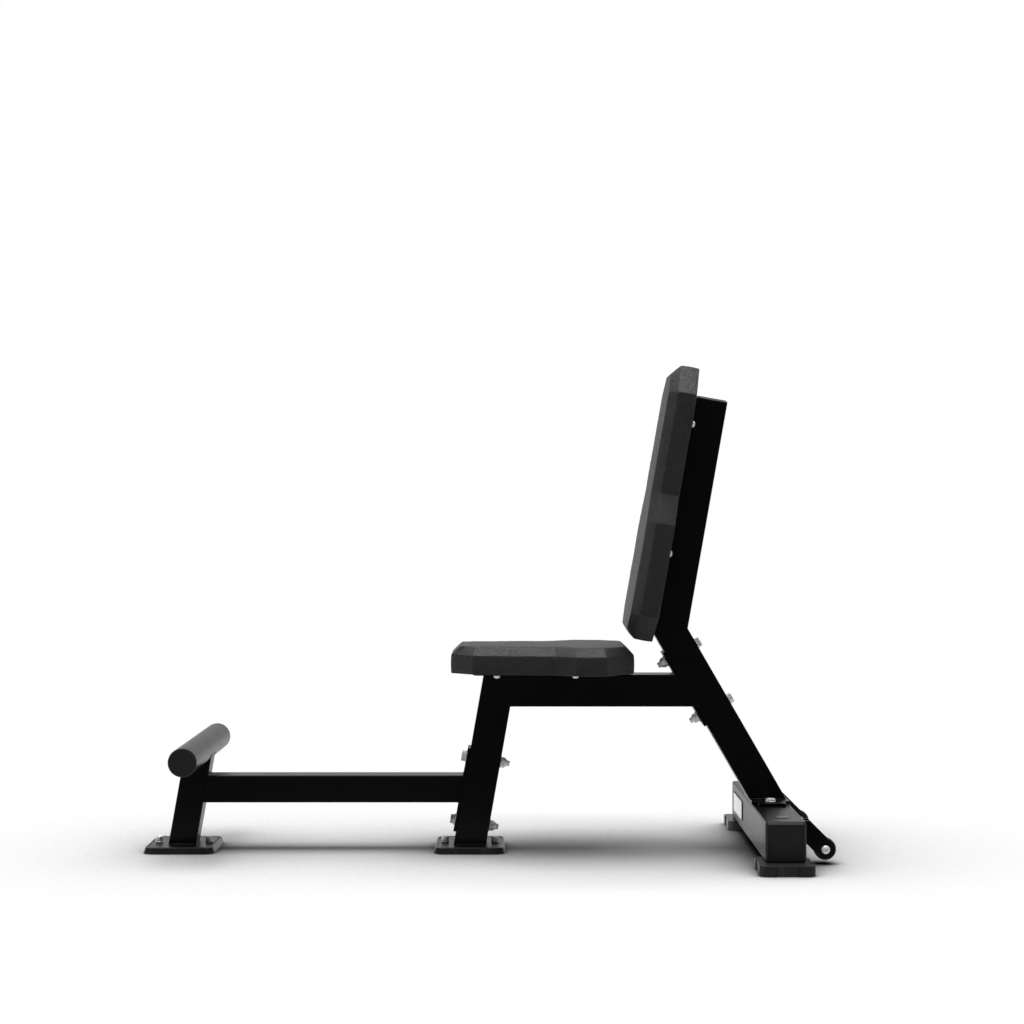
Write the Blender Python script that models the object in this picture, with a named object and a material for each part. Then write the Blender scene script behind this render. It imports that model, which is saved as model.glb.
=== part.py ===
# Upright utility bench: a bolted frame of square steel tube that carries a seat pad, an upright
# back pad, a round foot bar and two small transport wheels.
# Units are metres. +Z is up, +X runs from the foot bar to the back rest, and the left side of
# a person on the seat is -Y. The origin is on the floor, in the middle of the bench.

from math import atan2, cos, pi, radians, sin, sqrt, tan

import bmesh
import bpy
from mathutils import Matrix, Vector

# Driving dimensions
HALF_LENGTH = 0.67205
GAP = 0.0003
POST_TILT = 10
REAR_TILT = -30

POST_SIZE = 0.0635
POST_WALL = 0.003
POST_CORNER = 0.003
FOOT_TUBE_SIZE = 0.054
FOOT_TUBE_WALL = 0.0025

CROSS_SIZE = 0.0762
CROSS_CORNER = 0.0045
CROSS_X = 0.56335
CROSS_Z = 0.0584
CROSS_HALF = 0.2782

REAR_BASE_X = 0.56125
KNEE_HEIGHT = 0.3837
UPRIGHT_LENGTH = 0.4655

SEAT_POST_X = -0.02995
SEAT_TUBE_Z = 0.31735
FOOT_POST_X = -0.60155
FOOT_TUBE_Z = 0.1217
FOOT_BAR_RADIUS = 0.02735
FOOT_BAR_HALF = 0.2225
FOOT_BAR_HEIGHT = 0.1890

BASE_FLANGE = (0.0755, 0.124, 0.006)
BASE_TONGUE = (0.054, 0.184)
BASE_BOLT_X = CROSS_X - 0.0016
BASE_BOLT_Y = 0.070
JOINT_FLANGE = (0.168, 0.0635, 0.005)
JOINT_PITCH = 0.128
REAR_JOINT_HEIGHT = 0.2705
FRONT_JOINT_HEIGHT = 0.1035

CAP_FLANGE = 0.0045
CAP_SOFT = 0.0038
CAP_INSERT = 0.018
CAP_WALL = 0.0025

BOOT_BOTTOM = (0.141, 0.153)
BOOT_TOP = (0.134, 0.147)
BOOT_CORNER = 0.010
BOOT_HEIGHT = 0.0125
FOOT_PLATE = (0.121, 0.134, 0.006)
FOOT_BOLT_X = 0.050

REAR_FOOT = (0.103, 0.105, 0.020)
REAR_FOOT_Y = 0.2675
REAR_FOOT_CUT = 0.0085
REAR_FOOT_NOTCH = (0.044, 0.0035)
REAR_FOOT_SOFT = 0.0015
ACCESS_X = CROSS_X - 0.0015
ACCESS_Y = 0.229
ACCESS_RADIUS = 0.012
PLUG_RIM = 0.0135
PLUG_HEIGHT = 0.0016

NAMEPLATE = (0.155, 0.040, 0.0015)
NAMEPLATE_Y = 0.1655
NAMEPLATE_Z = 0.060

WHEEL_RADIUS = 0.021
WHEEL_WIDTH = 0.020
WHEEL_Z = 0.0292
WHEEL_Y = 0.1755
BRACKET_THICK = 0.005
BRACKET_SPACE = 0.022
BRACKET_RADIUS = 0.018
BRACKET_TOP = 0.0842
WHEEL_BORE = 0.0051
AXLE_RADIUS = 0.005
AXLE_LENGTH = 0.047

PAD_THICK = 0.054
PAD_CHAMFER = 0.0173
PAD_EDGE = 0.0035
PAD_CROWN = 0.0015
PAD_CORNER = 0.010
BOARD_THICK = 0.015
BOARD_INSET = 0.006
PAD_BOLT_Y = 0.050
PAD_BOLT_DEPTH = 0.012
TAB = (0.050, 0.120, 0.0045)
TAB_STATIONS = (0.176, 0.436)
BACK_PAD_DROP = 0.0246
SEAT_PLATE = (0.249, 0.120, 0.005)
SEAT_PLATE_X = 0.1016
SEAT_BOLT_STATIONS = (0.0901, 0.2454)

# Half widths of the pads along their length: (station, half width), at the widest line of the
# side and at the edge of the flat face
BACK_WIDE = ((0, 0.078), (0.050, 0.137), (0.231, 0.137), (0.290, 0.110), (0.490, 0.110), (0.546, 0.057))
BACK_FACE = ((0.0195, 0.086), (0.051, 0.1135), (0.229, 0.1135), (0.292, 0.088), (0.487, 0.088),
             (0.526, 0.0585))
SEAT_WIDE = ((0, 0.062), (0.044, 0.102), (0.204, 0.116), (0.244, 0.144), (0.303, 0.144), (0.3592, 0.080))
SEAT_FACE = ((0.0184, 0.067), (0.0502, 0.081), (0.205, 0.094), (0.244, 0.1215), (0.298, 0.1215),
             (0.3406, 0.0875))
SEAT_PAD_X = -0.06615

# Fasteners: shank radius, across flats, head height
M12 = (0.006, 0.018, 0.0075)
M12_LOW = (0.006, 0.018, 0.0064)
M8 = (0.004, 0.013, 0.0080)
WASHER_M12 = (0.012, 0.0025)
WASHER_M10 = (0.010, 0.002)
WASHER_M8 = (0.008, 0.0016)
NUT_M12_HEIGHT = 0.0103
NUT_M12_TIP = 0.0058
BUTTON_M8 = (0.007, 0.0044)
BUTTON_M10 = (0.0085, 0.0055)
AXLE_SEAT = (0.0090, 0.0008)

# Values that follow from the driving dimensions
HALF_POST = POST_SIZE / 2
HALF_CROSS = CROSS_SIZE / 2
CROSS_TOP = CROSS_Z + HALF_CROSS
BASE_TOP = CROSS_TOP + GAP + BASE_FLANGE[2]
SEAT_PAD_Z = SEAT_TUBE_Z + HALF_POST + SEAT_PLATE[2] + 2 * GAP
WHEEL_X = HALF_LENGTH - WHEEL_RADIUS
FRONT_BOOT_X = BOOT_BOTTOM[0] / 2 - HALF_LENGTH


# Outlines, as lists of (x, y) points that run anticlockwise

def circle(radius, count):
    return [(radius * cos(2 * pi * i / count), radius * sin(2 * pi * i / count)) for i in range(count)]


def hexagon(across_flats, count):
    """A hexagon with points also along its sides, so that it can be joined to a circle."""
    outline = []
    for i in range(count):
        angle = 2 * pi * i / count
        from_flat = (angle + pi / 6) % (pi / 3) - pi / 6
        reach = across_flats / 2 / cos(from_flat)
        outline.append((reach * cos(angle), reach * sin(angle)))
    return outline


def rectangle(length, width):
    x = length / 2
    y = width / 2
    return [(x, -y), (x, y), (-x, y), (-x, -y)]


def cut_rectangle(length, width, cut):
    """A rectangle whose corners are cut off at 45 degrees."""
    x = length / 2
    y = width / 2
    return [(x, cut - y), (x, y - cut), (x - cut, y), (cut - x, y),
            (-x, y - cut), (-x, cut - y), (cut - x, -y), (x - cut, -y)]


def tongued(length, width, tongue_length, tongue_width, cut):
    """A rectangle that goes on as a narrower tongue at both ends of its width."""
    x = length / 2
    y = width / 2
    inner = tongue_length / 2
    outer = tongue_width / 2
    quarter = [(x, y), (inner, y), (inner, outer - cut), (inner - cut, outer)]
    half = quarter + [(-a, b) for a, b in reversed(quarter)]
    return half + [(-a, -b) for a, b in half]


def rounded(corners, radius, steps):
    """Each corner of an outline becomes an arc."""
    outline = []
    for i, corner in enumerate(corners):
        here = Vector(corner)
        back = (Vector(corners[i - 1]) - here).normalized()
        ahead = (Vector(corners[(i + 1) % len(corners)]) - here).normalized()
        half_angle = back.angle(ahead) / 2
        centre = here + (back + ahead).normalized() * radius / sin(half_angle)
        start = here + back * radius / tan(half_angle) - centre
        end = here + ahead * radius / tan(half_angle) - centre
        first = atan2(start.y, start.x)
        sweep = (atan2(end.y, end.x) - first + pi) % (2 * pi) - pi
        for k in range(steps + 1):
            angle = first + sweep * k / steps
            outline.append((centre.x + radius * cos(angle), centre.y + radius * sin(angle)))
    return outline


def inset(corners, distance):
    """Every side of an anticlockwise outline moves inwards."""
    moved = []
    for i, corner in enumerate(corners):
        here = Vector(corner)
        before = (here - Vector(corners[i - 1])).normalized()
        after = (Vector(corners[(i + 1) % len(corners)]) - here).normalized()
        normal_before = Vector((-before.y, before.x))
        normal_after = Vector((-after.y, after.x))
        shift = (normal_before + normal_after) / (1 + normal_before.dot(normal_after))
        moved.append(tuple(here + shift * distance))
    return moved


def mirrored(half_widths):
    """The outline of a pad from its half widths."""
    return [(s, -w) for s, w in half_widths] + [(s, w) for s, w in reversed(half_widths)]


def between(outline_a, outline_b, share):
    return [(ax + (bx - ax) * share, ay + (by - ay) * share)
            for (ax, ay), (bx, by) in zip(outline_a, outline_b)]


# Solids: a shape is a list of sections (outline, height) that are joined in order. The height is
# a number, or a function of x and y for a slanted end. A ring joins its last section to its first.

def add_shape(bm, sections, ring, where):
    loops = []
    for outline, height in sections:
        level = height if callable(height) else lambda x, y, h=height: h
        loops.append([bm.verts.new(where @ Vector((x, y, level(x, y)))) for x, y in outline])
    pairs = list(zip(loops, loops[1:]))
    if ring:
        pairs.append((loops[-1], loops[0]))
    else:
        bm.faces.new(loops[0])
        bm.faces.new(loops[-1])
    for low, high in pairs:
        for i in range(len(low)):
            k = (i + 1) % len(low)
            bm.faces.new((low[i], low[k], high[k], high[i]))


def pose(x=0.0, y=0.0, z=0.0, about_x=0, about_y=0):
    turn = Matrix.Rotation(radians(about_y), 4, "Y") @ Matrix.Rotation(radians(about_x), 4, "X")
    return Matrix.Translation((x, y, z)) @ turn


def node(name, finish, sections, ring=False, at=None, copies=None, parent=None):
    """One named object. Only a cutter has copies, which are the places of its separate bodies."""
    bm = bmesh.new()
    for where in copies or [Matrix.Identity(4)]:
        add_shape(bm, sections, ring, where)
    bmesh.ops.recalc_face_normals(bm, faces=bm.faces)
    mesh = bpy.data.meshes.new(name)
    bm.to_mesh(mesh)
    bm.free()
    mesh.shade_smooth()
    mesh.set_sharp_from_angle(angle=radians(32))
    obj = bpy.data.objects.new(name, mesh)
    bpy.context.collection.objects.link(obj)
    obj.parent = parent
    obj.matrix_local = at or Matrix.Identity(4)
    if finish:
        mesh.materials.append(finish)
    return obj


def combine(target, operation, sections, at=None, copies=None, parent=None):
    """Takes a shape away from a node, or joins one to it."""
    helper = node(target.name + "_" + operation.lower(), None, sections, at=at, copies=copies, parent=parent)
    helper.hide_render = True
    helper.display_type = "WIRE"
    boolean = target.modifiers.new(operation.lower(), "BOOLEAN")
    boolean.operation = operation
    boolean.solver = "EXACT"
    boolean.object = helper


def drill(target, radius, low, high, copies, at=None, parent=None, count=12):
    outline = circle(radius, count)
    combine(target, "DIFFERENCE", [(outline, low), (outline, high)], at=at, copies=copies, parent=parent)


def axis_empty(name, x, z, tilt):
    """The centre line of a post: its local z runs up the post."""
    empty = bpy.data.objects.new(name, None)
    bpy.context.collection.objects.link(empty)
    empty.location = (x, 0, z)
    empty.rotation_euler = (0, radians(tilt), 0)
    return empty


# Sections of the common shapes

def tube(size, wall, corner, low, high):
    outer = rounded(rectangle(size, size), corner, 2)
    hollow = size - 2 * wall
    inner = rounded(rectangle(hollow, hollow), max(corner - wall, 0.0008), 2)
    return [(outer, low), (outer, high), (inner, high), (inner, low)]


def plate(outline, thickness):
    return [(outline, 0), (outline, thickness)]


def slope_from(height, rise):
    return lambda x, y: height + rise * x


def square_cap(size, wall, corner):
    """A plastic plug: a hollow insert and a flange with a softened edge."""
    hollow = size - 2 * wall - 2 * GAP
    insert = rounded(rectangle(hollow, hollow), 0.0015, 2)
    inside = rounded(rectangle(hollow - 2 * CAP_WALL, hollow - 2 * CAP_WALL), 0.001, 2)
    flange = rounded(rectangle(size, size), corner, 2)
    soft = []
    for angle in (radians(60), radians(30), 0):
        side = size - 2 * CAP_SOFT * (1 - sin(angle))
        soft.append((rounded(rectangle(side, side), corner, 2), CAP_FLANGE - CAP_SOFT * (1 - cos(angle))))
    return [(inside, -0.001), (inside, -CAP_INSERT), (insert, -CAP_INSERT), (insert, 0),
            (flange, 0), (flange, CAP_FLANGE - CAP_SOFT), *soft]


def round_cap(radius, wall, count):
    insert = radius - wall - GAP
    return [(circle(insert - CAP_WALL, count), -0.001), (circle(insert - CAP_WALL, count), -CAP_INSERT),
            (circle(insert, count), -CAP_INSERT), (circle(insert, count), 0),
            (circle(radius, count), 0), (circle(radius, count), 0.0022),
            (circle(radius - 0.0012, count), 0.0034)]


def hex_bolt(size, length, seat, count=24):
    """A bolt whose washer stands on height 0. The shank runs down from there."""
    radius, flats, height = size
    lift = seat[1]
    rim = circle(seat[0], count)
    sides = hexagon(flats, count)
    return [(circle(flats * 0.46, count), lift + height), (sides, lift + height * 0.88), (sides, lift),
            (rim, lift), (rim, 0), (circle(radius, count), 0), (circle(radius, count), 0.001 - length),
            (circle(radius * 0.82, count), -length)]


def button_bolt(shank, head, seat, length, count=16):
    """A domed bolt on a washer that stands on height 0."""
    radius, height = head
    lift = seat[1]
    crown = [(circle(radius * sin(a), count), lift + height * (0.25 + 0.75 * cos(a)))
             for a in (radians(25), radians(55), radians(90))]
    rim = circle(seat[0], count)
    return crown + [(circle(radius, count), lift), (rim, lift), (rim, 0), (circle(shank, count), 0),
                    (circle(shank, count), -length)]


def lock_nut(bore, flats, height, seat, count=24):
    """A nut with a round locking collar, on a washer that stands on height 0."""
    lift = seat[1]
    hole = circle(bore + GAP, count)
    collar = circle(flats * 0.45, count)
    rim = circle(seat[0], count)
    sides = hexagon(flats, count)
    return [(rim, 0), (rim, lift), (sides, lift), (sides, lift + height * 0.66),
            (collar, lift + height * 0.72), (collar, lift + height), (hole, lift + height), (hole, 0)]


# Finishes

def finish(name, colour, roughness, metallic=0.0):
    material = bpy.data.materials.new(name)
    material.use_nodes = True
    shader = material.node_tree.nodes["Principled BSDF"]
    shader.inputs["Base Color"].default_value = (*colour, 1)
    shader.inputs["Roughness"].default_value = roughness
    shader.inputs["Metallic"].default_value = metallic
    material.diffuse_color = (*colour, 1)
    return material


# Frame of the bench

def make_crossmember(steel, plastic, rubber, white):
    across = pose(CROSS_X, 0, CROSS_Z, about_x=-90)
    beam = node("rear_crossmember", steel,
                tube(CROSS_SIZE, POST_WALL, CROSS_CORNER, -CROSS_HALF, CROSS_HALF), ring=True, at=across)
    drill(beam, M12[0] + 0.0004, -0.006, 0.003,
          [pose(BASE_BOLT_X, side * BASE_BOLT_Y, CROSS_TOP) for side in (-1, 1)])
    drill(beam, ACCESS_RADIUS, -0.006, 0.003,
          [pose(ACCESS_X, side * ACCESS_Y, CROSS_TOP) for side in (-1, 1)], count=16)
    plug = circle(ACCESS_RADIUS - GAP, 16)
    hollow = circle(ACCESS_RADIUS - GAP - 0.002, 16)
    rim = circle(PLUG_RIM, 16)
    plug_sections = [(hollow, -0.001), (hollow, -0.008), (plug, -0.008), (plug, 0), (rim, 0),
                     (rim, PLUG_HEIGHT * 0.4), (circle(PLUG_RIM - 0.002, 16), PLUG_HEIGHT)]
    for side, word in ((-1, "left"), (1, "right")):
        node("crossmember_cap_" + word, plastic, square_cap(CROSS_SIZE, POST_WALL, CROSS_CORNER),
             at=pose(CROSS_X, side * (CROSS_HALF + GAP), CROSS_Z, about_x=-90 * side))
        node("access_plug_" + word, plastic, plug_sections,
             at=pose(ACCESS_X, side * ACCESS_Y, CROSS_TOP + GAP))
        make_rear_foot(word, side, rubber)
    node("nameplate", white, plate(rounded(rectangle(NAMEPLATE[1], NAMEPLATE[0]), 0.003, 2), NAMEPLATE[2]),
         at=pose(CROSS_X - HALF_CROSS - GAP, NAMEPLATE_Y, NAMEPLATE_Z, about_y=-90))


def make_rear_foot(word, side, rubber):
    """A rubber block with cut corners, softened top edges and a shallow notch in each side."""
    length, width, height = REAR_FOOT
    notch_length, notch_depth = REAR_FOOT_NOTCH
    outline = []
    for quarter in range(4):
        along, across = (width, length) if quarter % 2 else (length, width)
        turn = Matrix.Rotation(radians(90 * quarter), 2)
        x = along / 2
        y = across / 2
        side_points = [(x, REAR_FOOT_CUT - y), (x, -notch_length / 2 - notch_depth),
                       (x - notch_depth, -notch_length / 2), (x - notch_depth, notch_length / 2),
                       (x, notch_length / 2 + notch_depth), (x, y - REAR_FOOT_CUT)]
        outline += [tuple(turn @ Vector(point)) for point in side_points]
    soft = inset(outline, REAR_FOOT_SOFT)
    node("rear_foot_" + word, rubber, [(outline, 0), (outline, height - REAR_FOOT_SOFT), (soft, height)],
         at=pose(CROSS_X - 0.0015, side * REAR_FOOT_Y, 0))


def make_base_joint(steel, zinc):
    length, width, thick = BASE_FLANGE
    flange = node("base_flange", steel, plate(tongued(length, width, *BASE_TONGUE, 0.003), thick),
                  at=pose(CROSS_X, 0, CROSS_TOP + GAP))
    places = [pose(BASE_BOLT_X, side * BASE_BOLT_Y, BASE_TOP + GAP) for side in (-1, 1)]
    drill(flange, M12[0] + 0.0004, -0.010, 0.004, places)
    for word, place in zip(("left", "right"), places):
        node("base_bolt_" + word, zinc, hex_bolt(M12_LOW, 0.030, WASHER_M12), at=place)


def make_rear_post(axis, steel, zinc):
    """The post leans forwards from the base flange up to the knee."""
    turn = tan(radians(POST_TILT - REAR_TILT) / 2)
    post = node("rear_post", steel,
                tube(POST_SIZE, POST_WALL, POST_CORNER, slope_from(GAP, tan(radians(REAR_TILT))),
                     slope_from(KNEE_HEIGHT - GAP / 2, -turn)), ring=True, parent=axis)
    make_bolted_joint(post, axis, "seat_frame_flange", "rear_joint", REAR_JOINT_HEIGHT, 1, steel, zinc)


def make_bolted_joint(post, axis, flange_name, prefix, middle, head_side, steel, zinc):
    """A flange on the post's front face, held by two bolts that run right through the post. The
    heads are on the side given, 1 behind or -1 in front."""
    length, width, thick = JOINT_FLANGE
    heights = [middle - JOINT_PITCH / 2, middle + JOINT_PITCH / 2]
    face = HALF_POST + GAP
    flange = node(flange_name, steel, plate(cut_rectangle(length, width, 0.006), thick), parent=axis,
                  at=pose(-face, 0, middle, about_y=-90))
    holes = [pose(0, 0, z, about_y=90) for z in heights]
    for target in (post, flange):
        drill(target, M12[0] + 0.0004, -HALF_POST - 0.012, HALF_POST + 0.012, holes, parent=axis)
    behind = face
    before = face + thick + GAP
    head, nut = (behind, before) if head_side > 0 else (before, behind)
    reach = head + nut + WASHER_M12[1] + NUT_M12_HEIGHT + NUT_M12_TIP
    for word, z in zip(("lower", "upper"), heights):
        node(prefix + "_bolt_" + word, zinc, hex_bolt(M12, reach, WASHER_M12), parent=axis,
             at=pose(head_side * head, 0, z, about_y=90 * head_side))
        node(prefix + "_nut_" + word, zinc, lock_nut(M12[0], M12[1], NUT_M12_HEIGHT, WASHER_M12), ring=True,
             parent=axis, at=pose(-head_side * nut, 0, z, about_y=-90 * head_side))


def make_back_upright(axis, steel, plastic):
    turn = tan(radians(POST_TILT - REAR_TILT) / 2)
    node("back_upright", steel,
         tube(POST_SIZE, POST_WALL, POST_CORNER, slope_from(GAP / 2, turn), UPRIGHT_LENGTH),
         ring=True, parent=axis)
    node("upright_cap", plastic, square_cap(POST_SIZE, POST_WALL, POST_CORNER),
         at=pose(0, 0, UPRIGHT_LENGTH + GAP), parent=axis)


def make_seat_frame(axis, rear_x_at_height, steel):
    """The front post turns into the level seat tube, which runs back to the bolted flange."""
    tilt = radians(POST_TILT)
    half_turn = tan(radians(90 - POST_TILT) / 2)
    corner_height = (SEAT_TUBE_Z - BOOT_HEIGHT) / cos(tilt)
    corner_x = SEAT_POST_X + (SEAT_TUBE_Z - BOOT_HEIGHT) * tan(tilt)
    post = node("front_post", steel,
                tube(POST_SIZE, POST_WALL, POST_CORNER, slope_from(GAP, tan(tilt)),
                     slope_from(corner_height - GAP / 2, -half_turn)), ring=True, parent=axis)
    flange_back = rear_x_at_height(SEAT_TUBE_Z)
    node("seat_tube", steel,
         tube(POST_SIZE, POST_WALL, POST_CORNER, slope_from(GAP / 2, half_turn),
              slope_from(flange_back - corner_x - GAP, -tan(radians(REAR_TILT)))),
         ring=True, at=pose(corner_x, 0, SEAT_TUBE_Z, about_y=90))
    return post


def make_foot_frame(axis, flange_x_at_height, steel, plastic):
    """A short post with the round foot bar on top, and the low tube that ties it to the bench."""
    tilt = radians(POST_TILT)
    post = node("foot_post", steel,
                tube(FOOT_TUBE_SIZE, FOOT_TUBE_WALL, POST_CORNER, slope_from(GAP, tan(tilt)),
                     FOOT_BAR_HEIGHT), ring=True, parent=axis)
    across = pose(0, 0, FOOT_BAR_HEIGHT, about_x=-90)
    drill(post, FOOT_BAR_RADIUS + GAP, -0.040, 0.040, None, at=across, parent=axis, count=32)
    outer = circle(FOOT_BAR_RADIUS, 32)
    inner = circle(FOOT_BAR_RADIUS - POST_WALL, 32)
    node("foot_bar", steel, [(outer, -FOOT_BAR_HALF), (outer, FOOT_BAR_HALF), (inner, FOOT_BAR_HALF),
                             (inner, -FOOT_BAR_HALF)], ring=True, at=across, parent=axis)
    for side, word in ((-1, "left"), (1, "right")):
        node("foot_bar_cap_" + word, plastic, round_cap(FOOT_BAR_RADIUS, POST_WALL, 32), parent=axis,
             at=pose(0, side * (FOOT_BAR_HALF + GAP), FOOT_BAR_HEIGHT, about_x=-90 * side))
    rise = FOOT_TUBE_Z - BOOT_HEIGHT
    start = FOOT_POST_X + rise * tan(tilt) + FOOT_TUBE_SIZE / 2 / cos(tilt) + GAP
    end = flange_x_at_height(FOOT_TUBE_Z)
    node("foot_tube", steel,
         tube(FOOT_TUBE_SIZE, FOOT_TUBE_WALL, POST_CORNER, slope_from(0, -tan(tilt)),
              slope_from(end - start - GAP, -tan(tilt))),
         ring=True, at=pose(start, 0, FOOT_TUBE_Z, about_y=90))


def make_floor_plates(steel, rubber):
    """A steel foot plate in a rubber boot under each leaning post. Its two bolts are made in one
    with the plate."""
    length, width, thick = FOOT_PLATE
    low = rounded(rectangle(*BOOT_BOTTOM), BOOT_CORNER, 3)
    high = rounded(rectangle(*BOOT_TOP), BOOT_CORNER - 0.001, 3)
    edge = rounded(rectangle(BOOT_TOP[0] - 0.003, BOOT_TOP[1] - 0.003), BOOT_CORNER - 0.0025, 3)
    well = rounded(rectangle(length + 2 * GAP, width + 2 * GAP), 0.004 + GAP, 3)
    steel_edge = rounded(rectangle(length, width), 0.004, 3)
    boot_sections = [(low, 0), (low, 0.002), (high, BOOT_HEIGHT - 0.0012), (edge, BOOT_HEIGHT),
                     (well, BOOT_HEIGHT), (well, BOOT_HEIGHT - thick - GAP)]
    for name, x in (("front", FRONT_BOOT_X), ("middle", SEAT_POST_X)):
        node(name + "_foot_boot", rubber, boot_sections, at=pose(x, 0, 0))
        base = node(name + "_foot_plate", steel, plate(steel_edge, thick), at=pose(x, 0, BOOT_HEIGHT - thick))
        combine(base, "UNION", hex_bolt(M8, 0.003, WASHER_M8, 12),
                copies=[pose(x + end * FOOT_BOLT_X, 0, BOOT_HEIGHT) for end in (-1, 1)])


# Upholstery

def make_pad(prefix, wide, face, at, parent, vinyl, wood):
    """A cushion with a chamfered, slightly crowned face over a board that takes the bolts."""
    wide_corners = mirrored(wide)
    face_corners = mirrored(face)
    side = rounded(wide_corners, PAD_CORNER, 2)
    top = rounded(face_corners, PAD_CORNER, 2)
    board = rounded(inset(wide_corners, BOARD_INSET), 0.006, 2)
    recess = rounded(inset(wide_corners, BOARD_INSET - GAP), 0.006, 2)
    rear_edge = rounded(inset(wide_corners, 0.0025), 0.008, 2)
    crown = rounded(inset(face_corners, 0.030), 0.006, 2)
    chamfer_base = PAD_THICK - PAD_CHAMFER
    node(prefix + "_cushion", vinyl,
         [(recess, BOARD_THICK + GAP), (recess, 0), (rear_edge, 0), (side, 0.0025),
          (side, chamfer_base - PAD_EDGE), (between(side, top, 0.05), chamfer_base),
          (between(side, top, 0.22), chamfer_base + PAD_EDGE),
          (between(side, top, 0.80), PAD_THICK - PAD_EDGE), (top, PAD_THICK - 0.0012),
          (between(top, crown, 0.25), PAD_THICK - 0.0003), (crown, PAD_THICK + PAD_CROWN)],
         at=at, parent=parent)
    return node(prefix + "_board", wood, plate(board, BOARD_THICK), at=at, parent=parent)


def fix_pad(prefix, board, carriers, parent, zinc, drop):
    """Drills the board and what carries it, and puts a button-headed bolt in each hole. Carriers
    map a word for each pair of bolts to the place of the pair's middle, and the piece drilled."""
    for word, (middle, carrier) in carriers.items():
        spots = [middle @ pose(0, side * PAD_BOLT_Y, 0) for side in (-1, 1)]
        drill(board, M8[0] + 0.0004, -0.003, PAD_BOLT_DEPTH + 0.001, spots, parent=parent)
        drill(carrier, M8[0] + 0.0004, -0.012, 0.003, spots, parent=parent)
        for side, spot in zip(("left", "right"), spots):
            node(prefix + "_pad_bolt_" + word + "_" + side, zinc,
                 button_bolt(M8[0], BUTTON_M8, WASHER_M8, drop + PAD_BOLT_DEPTH, 12),
                 at=spot @ pose(0, 0, -drop, about_y=180), parent=parent)


def make_seat(vinyl, wood, zinc, steel):
    length, width, thick = SEAT_PLATE
    carrier = node("seat_plate", steel, plate(cut_rectangle(length, width, 0.008), thick),
                   at=pose(SEAT_PLATE_X, 0, SEAT_PAD_Z - thick - GAP))
    at = pose(SEAT_PAD_X, 0, SEAT_PAD_Z)
    board = make_pad("seat", SEAT_WIDE, SEAT_FACE, at, None, vinyl, wood)
    pairs = {word: (at @ pose(x=s), carrier) for word, s in zip(("front", "rear"), SEAT_BOLT_STATIONS)}
    fix_pad("seat", board, pairs, None, zinc, thick + 2 * GAP)


def make_back(axis, vinyl, wood, zinc, steel):
    height, width, thick = TAB
    at = pose(-HALF_POST - thick - 2 * GAP, 0, -BACK_PAD_DROP, about_y=-90)
    board = make_pad("back", BACK_WIDE, BACK_FACE, at, axis, vinyl, wood)
    pairs = {}
    for word, s in zip(("lower", "upper"), TAB_STATIONS):
        tab = node("back_tab_" + word, steel, plate(cut_rectangle(height, width, 0.010), thick),
                   at=pose(-HALF_POST - GAP, 0, s - BACK_PAD_DROP, about_y=-90), parent=axis)
        pairs[word] = (at @ pose(x=s), tab)
    fix_pad("back", board, pairs, axis, zinc, thick + 2 * GAP)


# Transport wheels

def bracket_outline():
    """Cut level at the top and square against the crossmember, then down at 45 degrees to a
    round end about the axle. Points are (height, length) from the axle."""
    reach = BRACKET_RADIUS * sqrt(2)
    front = CROSS_X + HALF_CROSS + GAP - WHEEL_X
    top = BRACKET_TOP - WHEEL_Z
    corners = [(-reach - front, front), (top, front), (top, reach - top)]
    arc = [(BRACKET_RADIUS * cos(a), BRACKET_RADIUS * sin(a))
           for a in (radians(45 - 180 * k / 12) for k in range(13))]
    return [(x, z) for z, x in corners] + arc


def make_wheels(steel, rubber, zinc):
    outline = bracket_outline()
    half_space = BRACKET_SPACE / 2
    for side, word in ((-1, "left"), (1, "right")):
        for out, place in ((1, "outer"), (-1, "inner")):
            middle = side * (WHEEL_Y + out * (half_space + BRACKET_THICK / 2))
            at = pose(WHEEL_X, middle, WHEEL_Z, about_x=90)
            bracket = node("wheel_bracket_" + word + "_" + place, steel,
                           [(outline, -BRACKET_THICK / 2), (outline, BRACKET_THICK / 2)], at=at)
            drill(bracket, AXLE_RADIUS + 0.0004, -0.005, 0.005, [at], count=16)
        make_wheel(word, side, rubber)
        outer_face = side * (WHEEL_Y + half_space + BRACKET_THICK + GAP)
        inner_face = side * (WHEEL_Y - half_space - BRACKET_THICK - GAP)
        node("axle_bolt_" + word, zinc, button_bolt(AXLE_RADIUS, BUTTON_M10, AXLE_SEAT, AXLE_LENGTH),
             at=pose(WHEEL_X, outer_face, WHEEL_Z, about_x=-90 * side))
        node("axle_nut_" + word, zinc, lock_nut(AXLE_RADIUS, 0.016, 0.0095, WASHER_M10), ring=True,
             at=pose(WHEEL_X, inner_face, WHEEL_Z, about_x=90 * side))


def make_wheel(word, side, rubber):
    """A solid wheel with rounded tread edges and a dished face on both sides."""
    half = WHEEL_WIDTH / 2
    count = 24
    profile = [(WHEEL_BORE, half), (0.0095, half), (0.0105, half - 0.0015), (0.0150, half - 0.0015),
               (0.0160, half), (WHEEL_RADIUS - 0.0015, half), (WHEEL_RADIUS, half - 0.0015)]
    halves = profile + [(radius, -height) for radius, height in reversed(profile)]
    sections = [(circle(radius, count), height) for radius, height in halves]
    node("wheel_" + word, rubber, sections, ring=True,
         at=pose(WHEEL_X, side * WHEEL_Y, WHEEL_Z, about_x=-90))


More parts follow.
